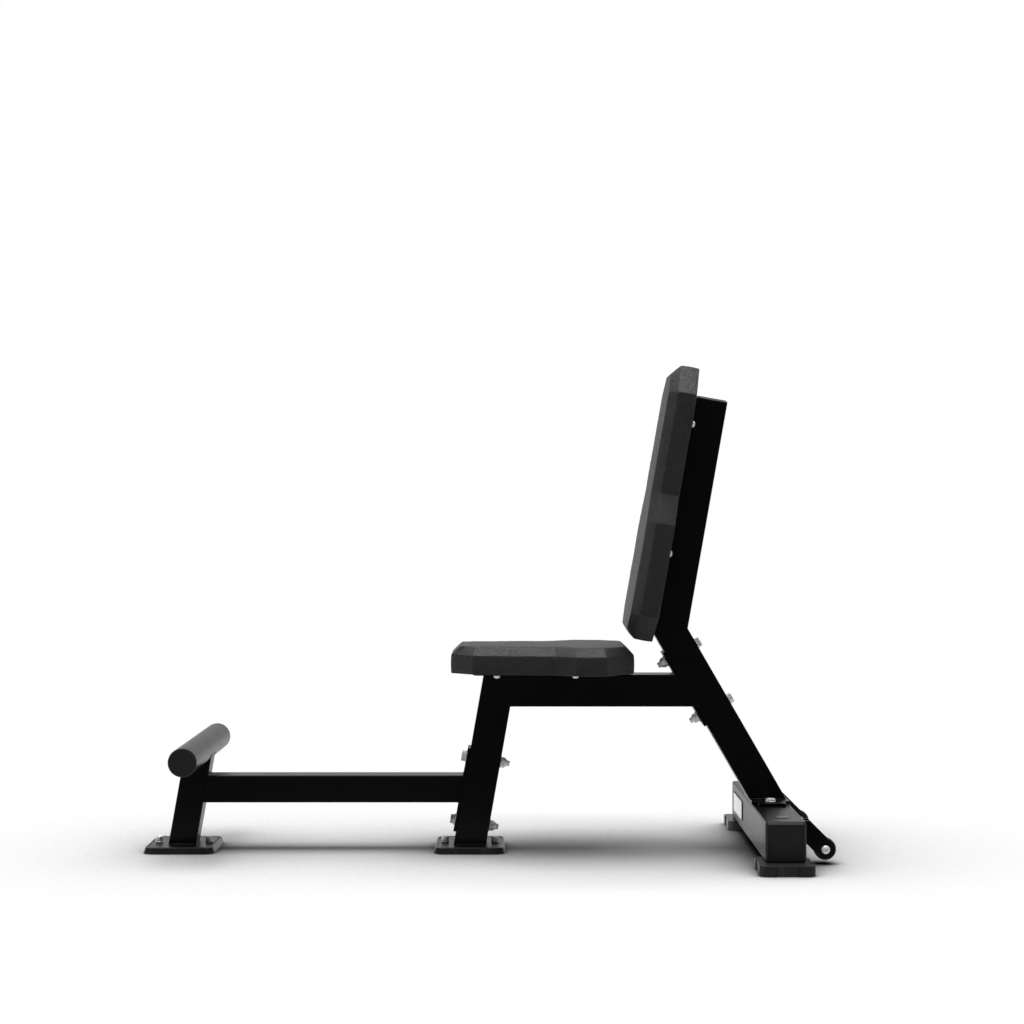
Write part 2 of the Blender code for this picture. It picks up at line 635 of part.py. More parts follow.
def make_bench():
    steel = finish("black_painted_steel", (0.010, 0.010, 0.011), 0.42)
    zinc = finish("bright_zinc", (0.66, 0.67, 0.68), 0.28, 1.0)
    plastic = finish("black_moulded_plastic", (0.018, 0.018, 0.019), 0.55)
    rubber = finish("black_rubber", (0.020, 0.020, 0.020), 0.75)
    vinyl = finish("black_vinyl", (0.024, 0.024, 0.025), 0.50)
    wood = finish("plywood", (0.52, 0.38, 0.22), 0.70)
    white = finish("blank_white_plate", (0.80, 0.80, 0.80), 0.40)

    rear_axis = axis_empty("rear_post_axis", REAR_BASE_X, BASE_TOP, REAR_TILT)
    knee_x = REAR_BASE_X + KNEE_HEIGHT * sin(radians(REAR_TILT))
    knee_z = BASE_TOP + KNEE_HEIGHT * cos(radians(REAR_TILT))
    back_axis = axis_empty("back_axis", knee_x, knee_z, POST_TILT)
    seat_axis = axis_empty("front_post_axis", SEAT_POST_X, BOOT_HEIGHT, POST_TILT)
    foot_axis = axis_empty("foot_post_axis", FOOT_POST_X, BOOT_HEIGHT, POST_TILT)

    flange_step = HALF_POST + JOINT_FLANGE[2] + GAP

    def rear_flange_x(z):
        """Where the front of the rear joint's flange is at a height."""
        tilt = radians(REAR_TILT)
        return REAR_BASE_X + (z - BASE_TOP) * tan(tilt) - flange_step / cos(tilt)

    def front_flange_x(z):
        tilt = radians(POST_TILT)
        return SEAT_POST_X + (z - BOOT_HEIGHT) * tan(tilt) - flange_step / cos(tilt)

    make_crossmember(steel, plastic, rubber, white)
    make_base_joint(steel, zinc)
    make_rear_post(rear_axis, steel, zinc)
    make_back_upright(back_axis, steel, plastic)
    front_post = make_seat_frame(seat_axis, rear_flange_x, steel)
    make_bolted_joint(front_post, seat_axis, "foot_frame_flange", "front_joint", FRONT_JOINT_HEIGHT, -1,
                      steel, zinc)
    make_foot_frame(foot_axis, front_flange_x, steel, plastic)
    make_floor_plates(steel, rubber)
    make_seat(vinyl, wood, zinc, steel)
    make_back(back_axis, vinyl, wood, zinc, steel)
    make_wheels(steel, rubber, zinc)
    bpy.context.view_layer.update()


for leftover in list(bpy.data.objects):
    bpy.data.objects.remove(leftover, do_unlink=True)
make_bench()
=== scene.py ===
# Looks of the upright utility bench: finely rounded tubes, plates and fasteners in place of the
# plain solids, upholstered pads, painted weld beads, and a plain white studio.
# Units are metres. +X runs from the foot bar to the wheels, +Z is up, and -Y faces the camera.

from math import atan2, ceil, cos, pi, radians, sin, sqrt, tan

import bmesh
import bpy
from mathutils import Matrix, Vector, noise


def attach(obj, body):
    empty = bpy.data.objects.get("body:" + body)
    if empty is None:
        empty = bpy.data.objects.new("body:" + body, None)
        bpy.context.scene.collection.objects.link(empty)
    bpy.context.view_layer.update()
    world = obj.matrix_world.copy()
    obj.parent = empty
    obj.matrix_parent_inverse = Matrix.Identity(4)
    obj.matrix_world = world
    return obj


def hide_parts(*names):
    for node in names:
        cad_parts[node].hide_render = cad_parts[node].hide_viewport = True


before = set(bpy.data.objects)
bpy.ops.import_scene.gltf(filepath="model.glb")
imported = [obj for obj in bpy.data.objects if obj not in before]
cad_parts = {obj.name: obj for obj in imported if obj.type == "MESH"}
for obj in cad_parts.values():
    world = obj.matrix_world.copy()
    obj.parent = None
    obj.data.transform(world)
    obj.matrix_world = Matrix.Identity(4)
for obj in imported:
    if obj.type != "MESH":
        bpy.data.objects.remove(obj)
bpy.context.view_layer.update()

SIDES = ((-1, "left"), (1, "right"))

# Frame: sizes and places as in the solids
GAP = 0.0003
POST_TILT = 10
REAR_TILT = -30
POST_SIZE = 0.0635
POST_WALL = 0.003
POST_CORNER = 0.003
FOOT_TUBE_SIZE = 0.054
FOOT_TUBE_WALL = 0.0025
CROSS_SIZE = 0.0762
CROSS_CORNER = 0.0045
CROSS_X = 0.56335
CROSS_Z = 0.0584
CROSS_HALF = 0.2782
REAR_BASE_X = 0.56125
KNEE_HEIGHT = 0.3837
UPRIGHT_LENGTH = 0.4655
SEAT_POST_X = -0.02995
SEAT_TUBE_Z = 0.31735
FOOT_POST_X = -0.60155
FOOT_TUBE_Z = 0.1217
FOOT_BAR_RADIUS = 0.02735
FOOT_BAR_HALF = 0.2225
FOOT_BAR_HEIGHT = 0.1890

# Flanges: length, width, thickness. The joint flanges touch their posts.
BASE_FLANGE = (0.0755, 0.124, 0.006)
BASE_TONGUE = (0.054, 0.184, 0.003)
BASE_BOLT_X = CROSS_X - 0.0016
BASE_BOLT_Y = 0.070
JOINT_FLANGE = (0.168, 0.0635, 0.005)
JOINT_PITCH = 0.128
REAR_JOINT_HEIGHT = 0.2705
FRONT_JOINT_HEIGHT = 0.1035
CONTACT = 0.00005

# Feet. Sole and rim of a boot: how much smaller it is there, and how far from sole or top.
BOOT_BOTTOM = (0.141, 0.153)
BOOT_TOP = (0.134, 0.147)
BOOT_CORNER = 0.018
BOOT_HEIGHT = 0.0125
BOOT_X = {"front": FOOT_POST_X, "middle": SEAT_POST_X}
BOOT_SOLE = ((0.0010, 0), (0, 0.0006), (0, 0.0016), (0.0010, 0.0024))
BOOT_RIM = ((0, 0.0010), (0.0006, 0.0003), (0.0016, 0), (0.0056, 0))
FOOT_PLATE = (0.121, 0.134, 0.006)
FOOT_BOLT_X = 0.050
REAR_FOOT = (0.103, 0.105, 0.020)
REAR_FOOT_X = CROSS_X - 0.0015
REAR_FOOT_Y = 0.2675
REAR_FOOT_CUT = 0.0085
REAR_FOOT_NOTCH = (0.044, 0.0022)
REAR_FOOT_EDGE = 0.0004

# Plugs. A profile runs from the rim inwards: how far it is inside the rim, and its height.
PLUG_DEPTH = 0.012
CAP_FLANGE = 0.0045
CAP_SOFT = 0.0038
CAP_DROP = 0.0021
CAP_RIM = ((0.0006, 0), (0, 0.0003), (0, 0.0005), (0.0004, 0.0009))
CAP_GROOVE = ((0, 0), (0.0012, 0), (0.0014, 0.0009), (0.0034, 0.0009), (0.0038, 0.0002))
ACCESS_PLUG_Y = 0.229
ACCESS_PLUG_RADIUS = 0.0135
ACCESS_PLUG = ((0.0018, -0.004), (0.0018, 0), (0.0002, 0), (0, 0.0002), (0, 0.0004),
               (0.0006, 0.0008), (0.0030, 0.0009))
BAR_PLUG = ((0.0002, 0), (0, 0.0003), (0, 0.0018), (0.0004, 0.0027), (0.0013, 0.0033),
            (0.0024, 0.0034), (0.0032, 0.0031), (FOOT_BAR_RADIUS / 2, 0.0030))

# The blank plate, the margin of its dark backing, which also serves as painted shade along the
# plate's edge, and where it sits
NAMEPLATE = (0.155, 0.040, 0.0015)
NAMEPLATE_MARGIN = (0.0030, 0.0140)
NAMEPLATE_Y = 0.1655
NAMEPLATE_Z = 0.060

# Wheels. Ribs: length, width, height. The axle's shank: radius, length.
WHEEL_RADIUS = 0.021
WHEEL_WIDTH = 0.020
WHEEL_X = 0.65105
WHEEL_Z = 0.0292
WHEEL_Y = 0.1755
WHEEL_BORE = 0.0051
WHEEL_RIB = (0.0062, 0.0016, 0.0024)
BRACKET_THICK = 0.005
BRACKET_SPACE = 0.022
BRACKET_RADIUS = 0.018
BRACKET_TOP = 0.0842
AXLE_SHANK = (0.0050, 0.0325)

# Pads: stations along the pad and its half width there, for the side and for the flat face
PAD_THICK = 0.054
PAD_CHAMFER = 0.0173
PAD_CROWN = 0.0015
PAD_SWELL = 0.0007
PAD_CORNER = 0.0045
PAD_END_CORNER = 0.011
PAD_EDGE = 0.0022
PAD_SPINE = 0.10
PAD_BOLT_Y = 0.050
TAB = (0.050, 0.120, 0.0045)
TAB_CUT = 0.010
TAB_STATIONS = {"lower": 0.176, "upper": 0.436}
BACK_PAD_DROP = 0.0246
SEAT_PLATE = (0.249, 0.120, 0.005)
SEAT_PLATE_CUT = 0.008
SEAT_PLATE_X = 0.1016
SEAT_PAD_X = -0.06615
SEAT_BOLT_STATIONS = {"front": 0.0901, "rear": 0.2454}
BACK_WIDE = ((0, 0.078), (0.050, 0.137), (0.231, 0.137), (0.290, 0.110), (0.490, 0.110),
             (0.546, 0.057))
BACK_FACE = ((0.0195, 0.086), (0.051, 0.1135), (0.229, 0.1135), (0.292, 0.088),
             (0.487, 0.088), (0.526, 0.0585))
SEAT_WIDE = ((0, 0.062), (0.044, 0.102), (0.204, 0.116), (0.244, 0.144), (0.303, 0.144),
             (0.3592, 0.080))
SEAT_FACE = ((0.0184, 0.067), (0.0502, 0.081), (0.205, 0.094), (0.244, 0.1215),
             (0.298, 0.1215), (0.3406, 0.0875))
BACK_MARGIN = 0.028
DUST_COVER_MARGIN = 0.020
STAPLE_MARGIN = 0.0245
STAPLE_PITCH = 0.036
STAPLE_WIRE_RADIUS = 0.00045
STAPLE = ((-0.0052, 0.002), (-0.0050, -0.0002), (-0.0044, -0.0005), (0.0044, -0.0005),
          (0.0050, -0.0002), (0.0052, 0.002))

# Fasteners: thread radius, across flats, head height
M12 = (0.006, 0.018, 0.0075)
M12_LOW = (0.006, 0.0168, 0.0044)
M8 = (0.004, 0.013, 0.0098)
# Washers: radius, thickness
WASHER_M12 = (0.0115, 0.0022)
WASHER_LOW = (0.0102, 0.0018)
WASHER_M10 = (0.010, 0.002)
WASHER_M8 = (0.008, 0.0016)
WASHER_PAD = (0.0066, 0.0016)
AXLE_SEAT = (0.0082, 0.0008)
# Lock nuts: bore, across flats, height, and how far the bolt comes out
NUT_M12 = (0.006, 0.018, 0.0103, 0.0058)
NUT_M10 = (0.005, 0.016, 0.0095, 0.003)
# Domed heads: thread radius, head radius, height, and the socket across flats
BUTTON_M8 = (0.004, 0.0064, 0.0042, 0.005)
BUTTON_M10 = (0.005, 0.0076, 0.0052, 0.006)
THREAD_PITCH = 0.00175

# Edges and welds: how far an edge is rounded, and the radius of a bead
PLATE_EDGE = 0.0007
BASE_EDGE = 0.0008
FOOT_PLATE_EDGE = 0.0009
THIN_EDGE = 0.0003
BEAD_STEP = 0.0011
BEAD_PITCH = 0.0030
FILLET = 0.0008
SEAM = 0.0013
CARRIER_BEAD = 0.0018
BRACKET_BEAD = 0.0016

# Points round a circle
BOLT_SIDES = 48
BAR_SIDES = 96
WHEEL_SIDES = 72

# The overhead lights: tilt, from the foot bar's side to the wheels', and strength
OVERHEAD = ((-24, 0.98), (0, 1.95), (25, 0.52))
OVERHEAD_WIDTH = 46
# What glossy surfaces see: the paper, the unlit room, and where one turns into the other
PAPER_GLARE = 0.76
ROOM_GLARE = 0.03
PAPER_SIDE = (0.42, 0.86)
FLOOR_FADE = (-0.42, -0.04)
# The floor: its white, where it turns into the paper, and the reach and depth of the shade painted
# into its colour round the bench
FLOOR_WHITE = (0.955, 0.955, 0.955)
PAPER_SWEEP = (1.5, 4.5)
SHADE_REACH = 0.52
SHADE_DEPTH = 1.9

LENS = 70
VIEWPOINT = (0.05375, -3.982, 0.6721)

HALF_POST = POST_SIZE / 2
HALF_CROSS = CROSS_SIZE / 2
CROSS_TOP = CROSS_Z + HALF_CROSS
BASE_TOP = CROSS_TOP + GAP + BASE_FLANGE[2]
SEAT_PAD_Z = SEAT_TUBE_Z + HALF_POST + SEAT_PLATE[2] + 2 * GAP


# Finishes

class Value:
    """A socket that varies over a surface. Arithmetic on it adds Math nodes."""

    def __init__(self, nodes, socket):
        self.nodes = nodes
        self.socket = socket

    def math(self, operation, *numbers):
        return self.nodes.add("ShaderNodeMath", {"operation": operation},
                              dict(enumerate(numbers)))

    def __add__(self, other):
        return self.math("ADD", self, other)

    __radd__ = __add__

    def __sub__(self, other):
        return self.math("SUBTRACT", self, other)

    def __rsub__(self, other):
        return self.math("SUBTRACT", other, self)

    def __mul__(self, other):
        return self.math("MULTIPLY", self, other)

    __rmul__ = __mul__

    def __pow__(self, other):
        return self.math("POWER", self, other)

    def between(self, low, high):
        """0 below low and 1 above high, with a smooth step from one to the other."""
        return self.nodes.add("ShaderNodeMapRange", {"interpolation_type": "SMOOTHSTEP"},
                              {"Value": self, "From Min": low, "From Max": high})


class Nodes:
    """A node tree that is put together node by node."""

    def __init__(self, tree):
        self.tree = tree

    def add(self, kind, settings, inputs, output=0):
        node = self.tree.nodes.new(kind)
        for name, value in settings.items():
            setattr(node, name, value)
        for name, value in inputs.items():
            self.feed(node.inputs[name], value)
        return Value(self, node.outputs[output])

    def feed(self, socket, value):
        if isinstance(value, Value):
            self.tree.links.new(value.socket, socket)
        else:
            socket.default_value = value

    def ray(self, kind):
        return self.add("ShaderNodeLightPath", {}, {}, kind)

    def mirrored(self):
        """1 for a ray that comes off a glossy surface or through a clear one."""
        return self.ray("Is Glossy Ray") + self.ray("Is Transmission Ray")


class Finish(Nodes):
    """One material, and a slot name, which is not used."""

    def __init__(self, name, slot=None, **constants):
        self.slot = slot
        self.material = bpy.data.materials.new(name)
        self.material.use_nodes = True
        super().__init__(self.material.node_tree)
        self.shader = self.tree.nodes["Principled BSDF"]
        for socket, value in constants.items():
            self.shader.inputs[socket.replace("_", " ")].default_value = value

    def place(self, stretch=None):
        """Where a point is on the bench, in metres."""
        spot = self.add("ShaderNodeTexCoord", {}, {}, "Object")
        if stretch:
            spot = self.add("ShaderNodeVectorMath", {"operation": "MULTIPLY"},
                            {0: spot, 1: stretch})
        return spot

    def speckle(self, size, detail=2.0, roughness=0.5, at=None, output=0):
        """Soft noise whose lumps are about this size in metres."""
        return self.add("ShaderNodeTexNoise", {},
                        {"Vector": at or self.place(), "Scale": 1 / size, "Detail": detail,
                         "Roughness": roughness}, output)

    def cells(self, size, at=None, feature="DISTANCE_TO_EDGE"):
        return self.add("ShaderNodeTexVoronoi", {"feature": feature},
                        {"Vector": at or self.place(), "Scale": 1 / size})

    def tint(self, share, low, high):
        """A colour between two, by a share from 0 to 1."""
        return self.add("ShaderNodeMix", {"data_type": "RGBA"},
                        {"Factor": share, 6: (*low, 1), 7: (*high, 1)}, 2)

    def worn_edge(self, reach):
        """1 where the surface turns sharply within reach, and 0 on flat ground."""
        rounded = self.add("ShaderNodeBevel", {"samples": 4}, {"Radius": reach})
        normal = self.add("ShaderNodeNewGeometry", {}, {}, "Normal")
        apart = self.add("ShaderNodeVectorMath", {"operation": "DISTANCE"},
                         {0: rounded, 1: normal}, "Value")
        return apart.between(0.02, 0.25)

    def surface(self, share, low, high, roughness, height, depth):
        """A colour between two, a roughness, and a relief of this depth in metres."""
        bump = self.add("ShaderNodeBump", {}, {"Height": height, "Distance": depth})
        self.feed(self.shader.inputs["Base Color"], self.tint(share, low, high))
        self.feed(self.shader.inputs["Roughness"], roughness)
        self.feed(self.shader.inputs["Normal"], bump)
        return self


def painted_steel():
    """Black powder coat: a fine orange peel, a slightly uneven sheen and rubbed edges."""
    paint = Finish("black_powder_coat", "painted_steel", Specular_IOR_Level=0.15)
    peel = paint.speckle(0.0016, 2)
    grit = paint.speckle(0.00035, 1)
    cloud = paint.speckle(0.060, 3)
    edge = paint.worn_edge(0.0012)
    return paint.surface(cloud * 0.6 + edge * 0.4, (0.0036, 0.0036, 0.0038),
                         (0.0070, 0.0070, 0.0073),
                         0.25 + cloud * 0.07 + grit * 0.05 - edge * 0.03,
                         peel * 0.7 + grit * 0.3, 0.00012)


def zinc_plate():
    """Zinc plate with a faint haze and fine turning marks. Its near-white, mostly non-metallic
    colour is the zinc's own pale tone together with a painted reflection that stands in for its
    shine.
    """
    plating = Finish("bright_zinc", "zinc", Metallic=0.18, Specular_IOR_Level=1.0)
    haze = plating.speckle(0.004, 3)
    grain = plating.speckle(0.0003, 2)
    # Near-white diffuse colour: the zinc's pale tone plus a painted reflection standing in for the
    # shine of bright metal.
    return plating.surface(haze, (0.92, 0.93, 0.94), (0.98, 0.98, 0.97),
                           0.18 + haze * 0.10 + grain * 0.05, haze * 0.3 + grain * 0.7, 0.00004)


def moulded_plastic(name, dullness):
    """Black plastic with a fine sparkle and paler edges."""
    plastic = Finish(name, "moulded_plastic", Specular_IOR_Level=0.6)
    spark = plastic.speckle(0.0005, 3)
    cloud = plastic.speckle(0.018, 3)
    edge = plastic.worn_edge(0.0015)
    return plastic.surface(cloud * 0.7 + edge * 0.3, (0.016, 0.016, 0.017),
                           (0.022, 0.022, 0.023), dullness + cloud * 0.08 + spark * 0.10,
                           spark, 0.00009)


def rubber(name, shade):
    """Matt moulded rubber with fine pits and a trace of dust."""
    compound = Finish(name, "rubber", Specular_IOR_Level=0.45)
    pits = compound.speckle(0.0009, 3, 0.6)
    cloud = compound.speckle(0.022, 4)
    dust = cloud.between(0.52, 0.80)
    return compound.surface(dust, (shade, shade, shade), (shade * 1.4, shade * 1.4, shade * 1.35),
                            0.30 + dust * 0.14 + pits * 0.08, pits * 0.8 + cloud * 0.2, 0.00014)


def upholstery_vinyl():
    """Small creased cells, finer pores in them, and a soft uneven sheen. The colour is darker along
    the creases: painted shade.
    """
    cover = Finish("black_grained_vinyl", "vinyl", Specular_IOR_Level=0.58)
    drift = cover.speckle(1 / 160, output="Color")
    bent = cover.add("ShaderNodeVectorMath", {"operation": "MULTIPLY_ADD"},
                     {0: drift, 1: (0.0034, 0.0034, 0.0034), 2: cover.place((1.0, 1.0, 0.72))})
    crease_relief_and_shade = cover.cells(0.0034, bent).between(0.0, 0.16)
    pores = cover.speckle(0.0005, 2)
    swell = cover.speckle(0.009, 3)
    patch = cover.speckle(0.070, 2)
    # The colour darkens along the creases of the grain: painted shade, while the same mask also
    # shapes the real relief.
    return cover.surface(crease_relief_and_shade * 0.7 + patch * 0.3, (0.015, 0.015, 0.016), (0.029, 0.029, 0.030),
                         0.52 - crease_relief_and_shade * 0.14 + patch * 0.08 + pores * 0.06,
                         crease_relief_and_shade * 0.70 + pores * 0.10 + swell * 0.20, 0.0007)


def dust_cover():
    """Black spun cloth on the backs of the pads."""
    cloth = Finish("black_dust_cover", "vinyl", Specular_IOR_Level=0.2)
    threads = cloth.speckle(0.0006, 4, 0.7, cloth.place((1.0, 0.35, 1.0)))
    across = cloth.speckle(0.0006, 4, 0.7, cloth.place((0.35, 1.0, 0.35)))
    dimple = cloth.cells(0.0022, feature="F1").between(0.15, 0.5)
    return cloth.surface(threads * 0.5 + across * 0.5, (0.010, 0.010, 0.010),
                         (0.030, 0.030, 0.030), 0.80 + dimple * 0.15,
                         threads * 0.4 + across * 0.3 + dimple * 0.3, 0.0003)


def clouded(name, cloud, low, high, roughness, uneven, depth, **constants):
    """One cloud in the colour, the sheen and the relief, for small fittings."""
    fitting = Finish(name, "zinc", **constants)
    haze = fitting.speckle(*cloud)
    return fitting.surface(haze, low, high, roughness + haze * uneven, haze, depth)


def white_lacquer():
    """White lacquer with a faint peel, on a plate with nothing printed on it."""
    lacquer = Finish("blank_white_plate", "white_plate", Specular_IOR_Level=0.8)
    peel = lacquer.speckle(0.003, 2)
    cloud = lacquer.speckle(0.03, 3)
    return lacquer.surface(cloud, (0.93, 0.93, 0.93), (0.97, 0.97, 0.97),
                           0.10 + cloud * 0.10, peel, 0.00005)


PAINT = painted_steel()
ZINC = zinc_plate()
CAP_PLASTIC = moulded_plastic("black_moulded_plastic", 0.46)
PLUG_PLASTIC = moulded_plastic("black_polished_plastic", 0.20)
FOOT_RUBBER = rubber("black_rubber", 0.024)
BOOT_RUBBER = rubber("black_boot_rubber", 0.013)
VINYL = upholstery_vinyl()
SPUN_CLOTH = dust_cover()
STAPLE_WIRE = clouded("staple_wire", (0.003, 3), (0.42, 0.41, 0.39), (0.62, 0.61, 0.58),
                      0.28, 0.20, 0.00004, Metallic=1.0)
NYLON = clouded("natural_nylon", (0.002, 2), (0.55, 0.55, 0.53), (0.70, 0.70, 0.68),
                0.38, 0.12, 0.00005)
WHITE_LACQUER = white_lacquer()


# Outlines, as lists of (x, y) points that run anticlockwise

def circle(radius, count=BOLT_SIDES):
    return [(radius * cos(2 * pi * i / count), radius * sin(2 * pi * i / count))
            for i in range(count)]


def hexagon(across_flats, reach=1.0):
    """A hexagon with points along its sides, cut back where it is wider than reach."""
    outline = []
    for i in range(BOLT_SIDES):
        angle = 2 * pi * i / BOLT_SIDES
        from_flat = (angle + pi / 6) % (pi / 3) - pi / 6
        radius = min(across_flats / 2 / cos(from_flat), reach)
        outline.append((radius * cos(angle), radius * sin(angle)))
    return outline


def rectangle(length, width):
    x = length / 2
    y = width / 2
    return [(x, -y), (x, y), (-x, y), (-x, -y)]


def tongued(length, width, tongue_length, tongue_width, cut):
    """A rectangle that goes on as a narrower tongue at both ends of its width."""
    x = length / 2
    y = width / 2
    inner = tongue_length / 2
    outer = tongue_width / 2
    quarter = [(x, y), (inner, y), (inner, outer - cut), (inner - cut, outer)]
    half = quarter + [(-a, b) for a, b in reversed(quarter)]
    return half + [(-a, -b) for a, b in half]


def neighbours(outline):
    """Each point of an outline, with the one before it and the one after it."""
    return zip(outline[-1:] + outline[:-1], outline, outline[1:] + outline[:1])


def rounded(corners, radii, steps=6):
    """Each corner of an outline becomes an arc. The radius is one number, or one per corner."""
    outline = []
    for i, (before, corner, after) in enumerate(neighbours(corners)):
        radius = radii[i] if isinstance(radii, list) else radii
        here = Vector(corner)
        back = (Vector(before) - here).normalized()
        ahead = (Vector(after) - here).normalized()
        half_angle = back.angle(ahead) / 2
        centre = here + (back + ahead).normalized() * radius / sin(half_angle)
        start = here + back * radius / tan(half_angle) - centre
        end = here + ahead * radius / tan(half_angle) - centre
        first = atan2(start.y, start.x)
        sweep = (atan2(end.y, end.x) - first + pi) % (2 * pi) - pi
        for k in range(steps + 1):
            angle = first + sweep * k / steps
            outline.append((centre.x + radius * cos(angle), centre.y + radius * sin(angle)))
    return outline


def soft_rectangle(length, width, corner, steps=6):
    return rounded(rectangle(length, width), corner, steps)


def cut_rectangle(length, width, cut):
    """An arc of one step is a straight cut."""
    return soft_rectangle(length, width, cut, 1)


def inset(corners, distance):
    """Every side of an anticlockwise outline moves inwards."""
    moved = []
    for before, corner, after in neighbours(corners):
        here = Vector(corner)
        arriving = (here - Vector(before)).normalized()
        leaving = (Vector(after) - here).normalized()
        normal_a = Vector((-arriving.y, arriving.x))
        normal_b = Vector((-leaving.y, leaving.x))
        shift = (normal_a + normal_b) / (1 + normal_a.dot(normal_b))
        moved.append(tuple(here + shift * distance))
    return moved


def inset_points(outline, distance):
    """Moves the points of a smooth outline inwards, each square to its neighbours' line."""
    moved = []
    for (ax, ay), (x, y), (bx, by) in neighbours(outline):
        along = Vector((bx - ax, by - ay)).normalized()
        moved.append((x - along.y * distance, y + along.x * distance))
    return moved


def mirrored(half_widths):
    return [(s, -w) for s, w in half_widths] + [(s, w) for s, w in reversed(half_widths)]


def part_way(outline_a, outline_b, spots):
    """Sections between two outlines. A spot is a share of the way and a height."""
    return [([(ax + (bx - ax) * share, ay + (by - ay) * share)
              for (ax, ay), (bx, by) in zip(outline_a, outline_b)], z) for share, z in spots]


def side_parts(outline, step):
    """How many equal parts no longer than step each side of an outline is cut into."""
    return [max(1, ceil((Vector(after) - Vector(corner)).length / step))
            for _, corner, after in neighbours(outline)]


def cut_sides(outline, parts):
    return [(x + (bx - x) * k / count, y + (by - y) * k / count)
            for (_, (x, y), (bx, by)), count in zip(neighbours(outline), parts)
            for k in range(count)]


def finer(outline, step):
    return cut_sides(outline, side_parts(outline, step))


# Sections: each is an outline and its height, which is a number, or a function of x and y for a
# slanted end

def slope_from(height, rise):
    return lambda x, y: height + rise * x


def square_tube(size, wall, corner, low, high):
    outer = soft_rectangle(size, size, corner)
    hollow = size - 2 * wall
    inner = soft_rectangle(hollow, hollow, max(corner - wall, 0.0008))
    return [(outer, low), (outer, high), (inner, high), (inner, low)]


def turned(radius, profile, count=BOLT_SIDES):
    """A round piece whose profile says how far it is inside the rim, and its height there."""
    return [(circle(radius - cut, count), z) for cut, z in profile]


# Places

def pose(x=0.0, y=0.0, z=0.0, about_x=0, about_y=0, about_z=0):
    turn = Matrix.Rotation(radians(about_y), 4, "Y") @ Matrix.Rotation(radians(about_x), 4, "X")
    return Matrix.Translation((x, y, z)) @ turn @ Matrix.Rotation(radians(about_z), 4, "Z")


TILT = radians(POST_TILT)
REAR = radians(REAR_TILT)

# The centre lines of the posts: local z runs up each post
REAR_AXIS = pose(REAR_BASE_X, 0, BASE_TOP, about_y=REAR_TILT)
BACK_AXIS = pose(REAR_BASE_X + KNEE_HEIGHT * sin(REAR), 0, BASE_TOP + KNEE_HEIGHT * cos(REAR),
                 about_y=POST_TILT)
SEAT_AXIS = pose(SEAT_POST_X, 0, BOOT_HEIGHT, about_y=POST_TILT)
FOOT_AXIS = pose(FOOT_POST_X, 0, BOOT_HEIGHT, about_y=POST_TILT)
SEAT_PAD = pose(SEAT_PAD_X, 0, SEAT_PAD_Z)
BACK_PAD = BACK_AXIS @ pose(-HALF_POST - TAB[2] - 2 * GAP, 0, -BACK_PAD_DROP, about_y=-90)

# The mitres, and the two level tubes: local z runs along each tube towards the wheels
KNEE_SLOPE = tan(radians(POST_TILT - REAR_TILT) / 2)
CORNER_SLOPE = tan(radians(90 - POST_TILT) / 2)
CORNER_HEIGHT = (SEAT_TUBE_Z - BOOT_HEIGHT) / cos(TILT)
CORNER_X = SEAT_POST_X + (SEAT_TUBE_Z - BOOT_HEIGHT) * tan(TILT)
FLANGE_FACE = HALF_POST + JOINT_FLANGE[2] + GAP
SEAT_RUN = REAR_BASE_X + (SEAT_TUBE_Z - BASE_TOP) * tan(REAR) - FLANGE_FACE / cos(REAR) - CORNER_X
SEAT_LINE = pose(CORNER_X, 0, SEAT_TUBE_Z, about_y=90)
FOOT_LEAN = (FOOT_TUBE_Z - BOOT_HEIGHT) * tan(TILT)
FOOT_START = FOOT_POST_X + FOOT_LEAN + FOOT_TUBE_SIZE / 2 / cos(TILT) + GAP
FOOT_RUN = SEAT_POST_X + FOOT_LEAN - FLANGE_FACE / cos(TILT) - FOOT_START
FOOT_LINE = pose(FOOT_START, 0, FOOT_TUBE_Z, about_y=90)


# Solids

def add_object(name, data):
    obj = bpy.data.objects.new(name, data)
    bpy.context.collection.objects.link(obj)
    return obj


def skin(bm, loops, first):
    """Joins loops of points in order, and the last one to first. Without first both ends close."""
    pairs = list(zip(loops, loops[1:]))
    if first:
        pairs.append((loops[-1], first))
    else:
        bm.faces.new(loops[0])
        bm.faces.new(loops[-1])
    for low, high in pairs:
        for i in range(len(low)):
            k = (i + 1) % len(low)
            bm.faces.new((low[i], low[k], high[k], high[i]))


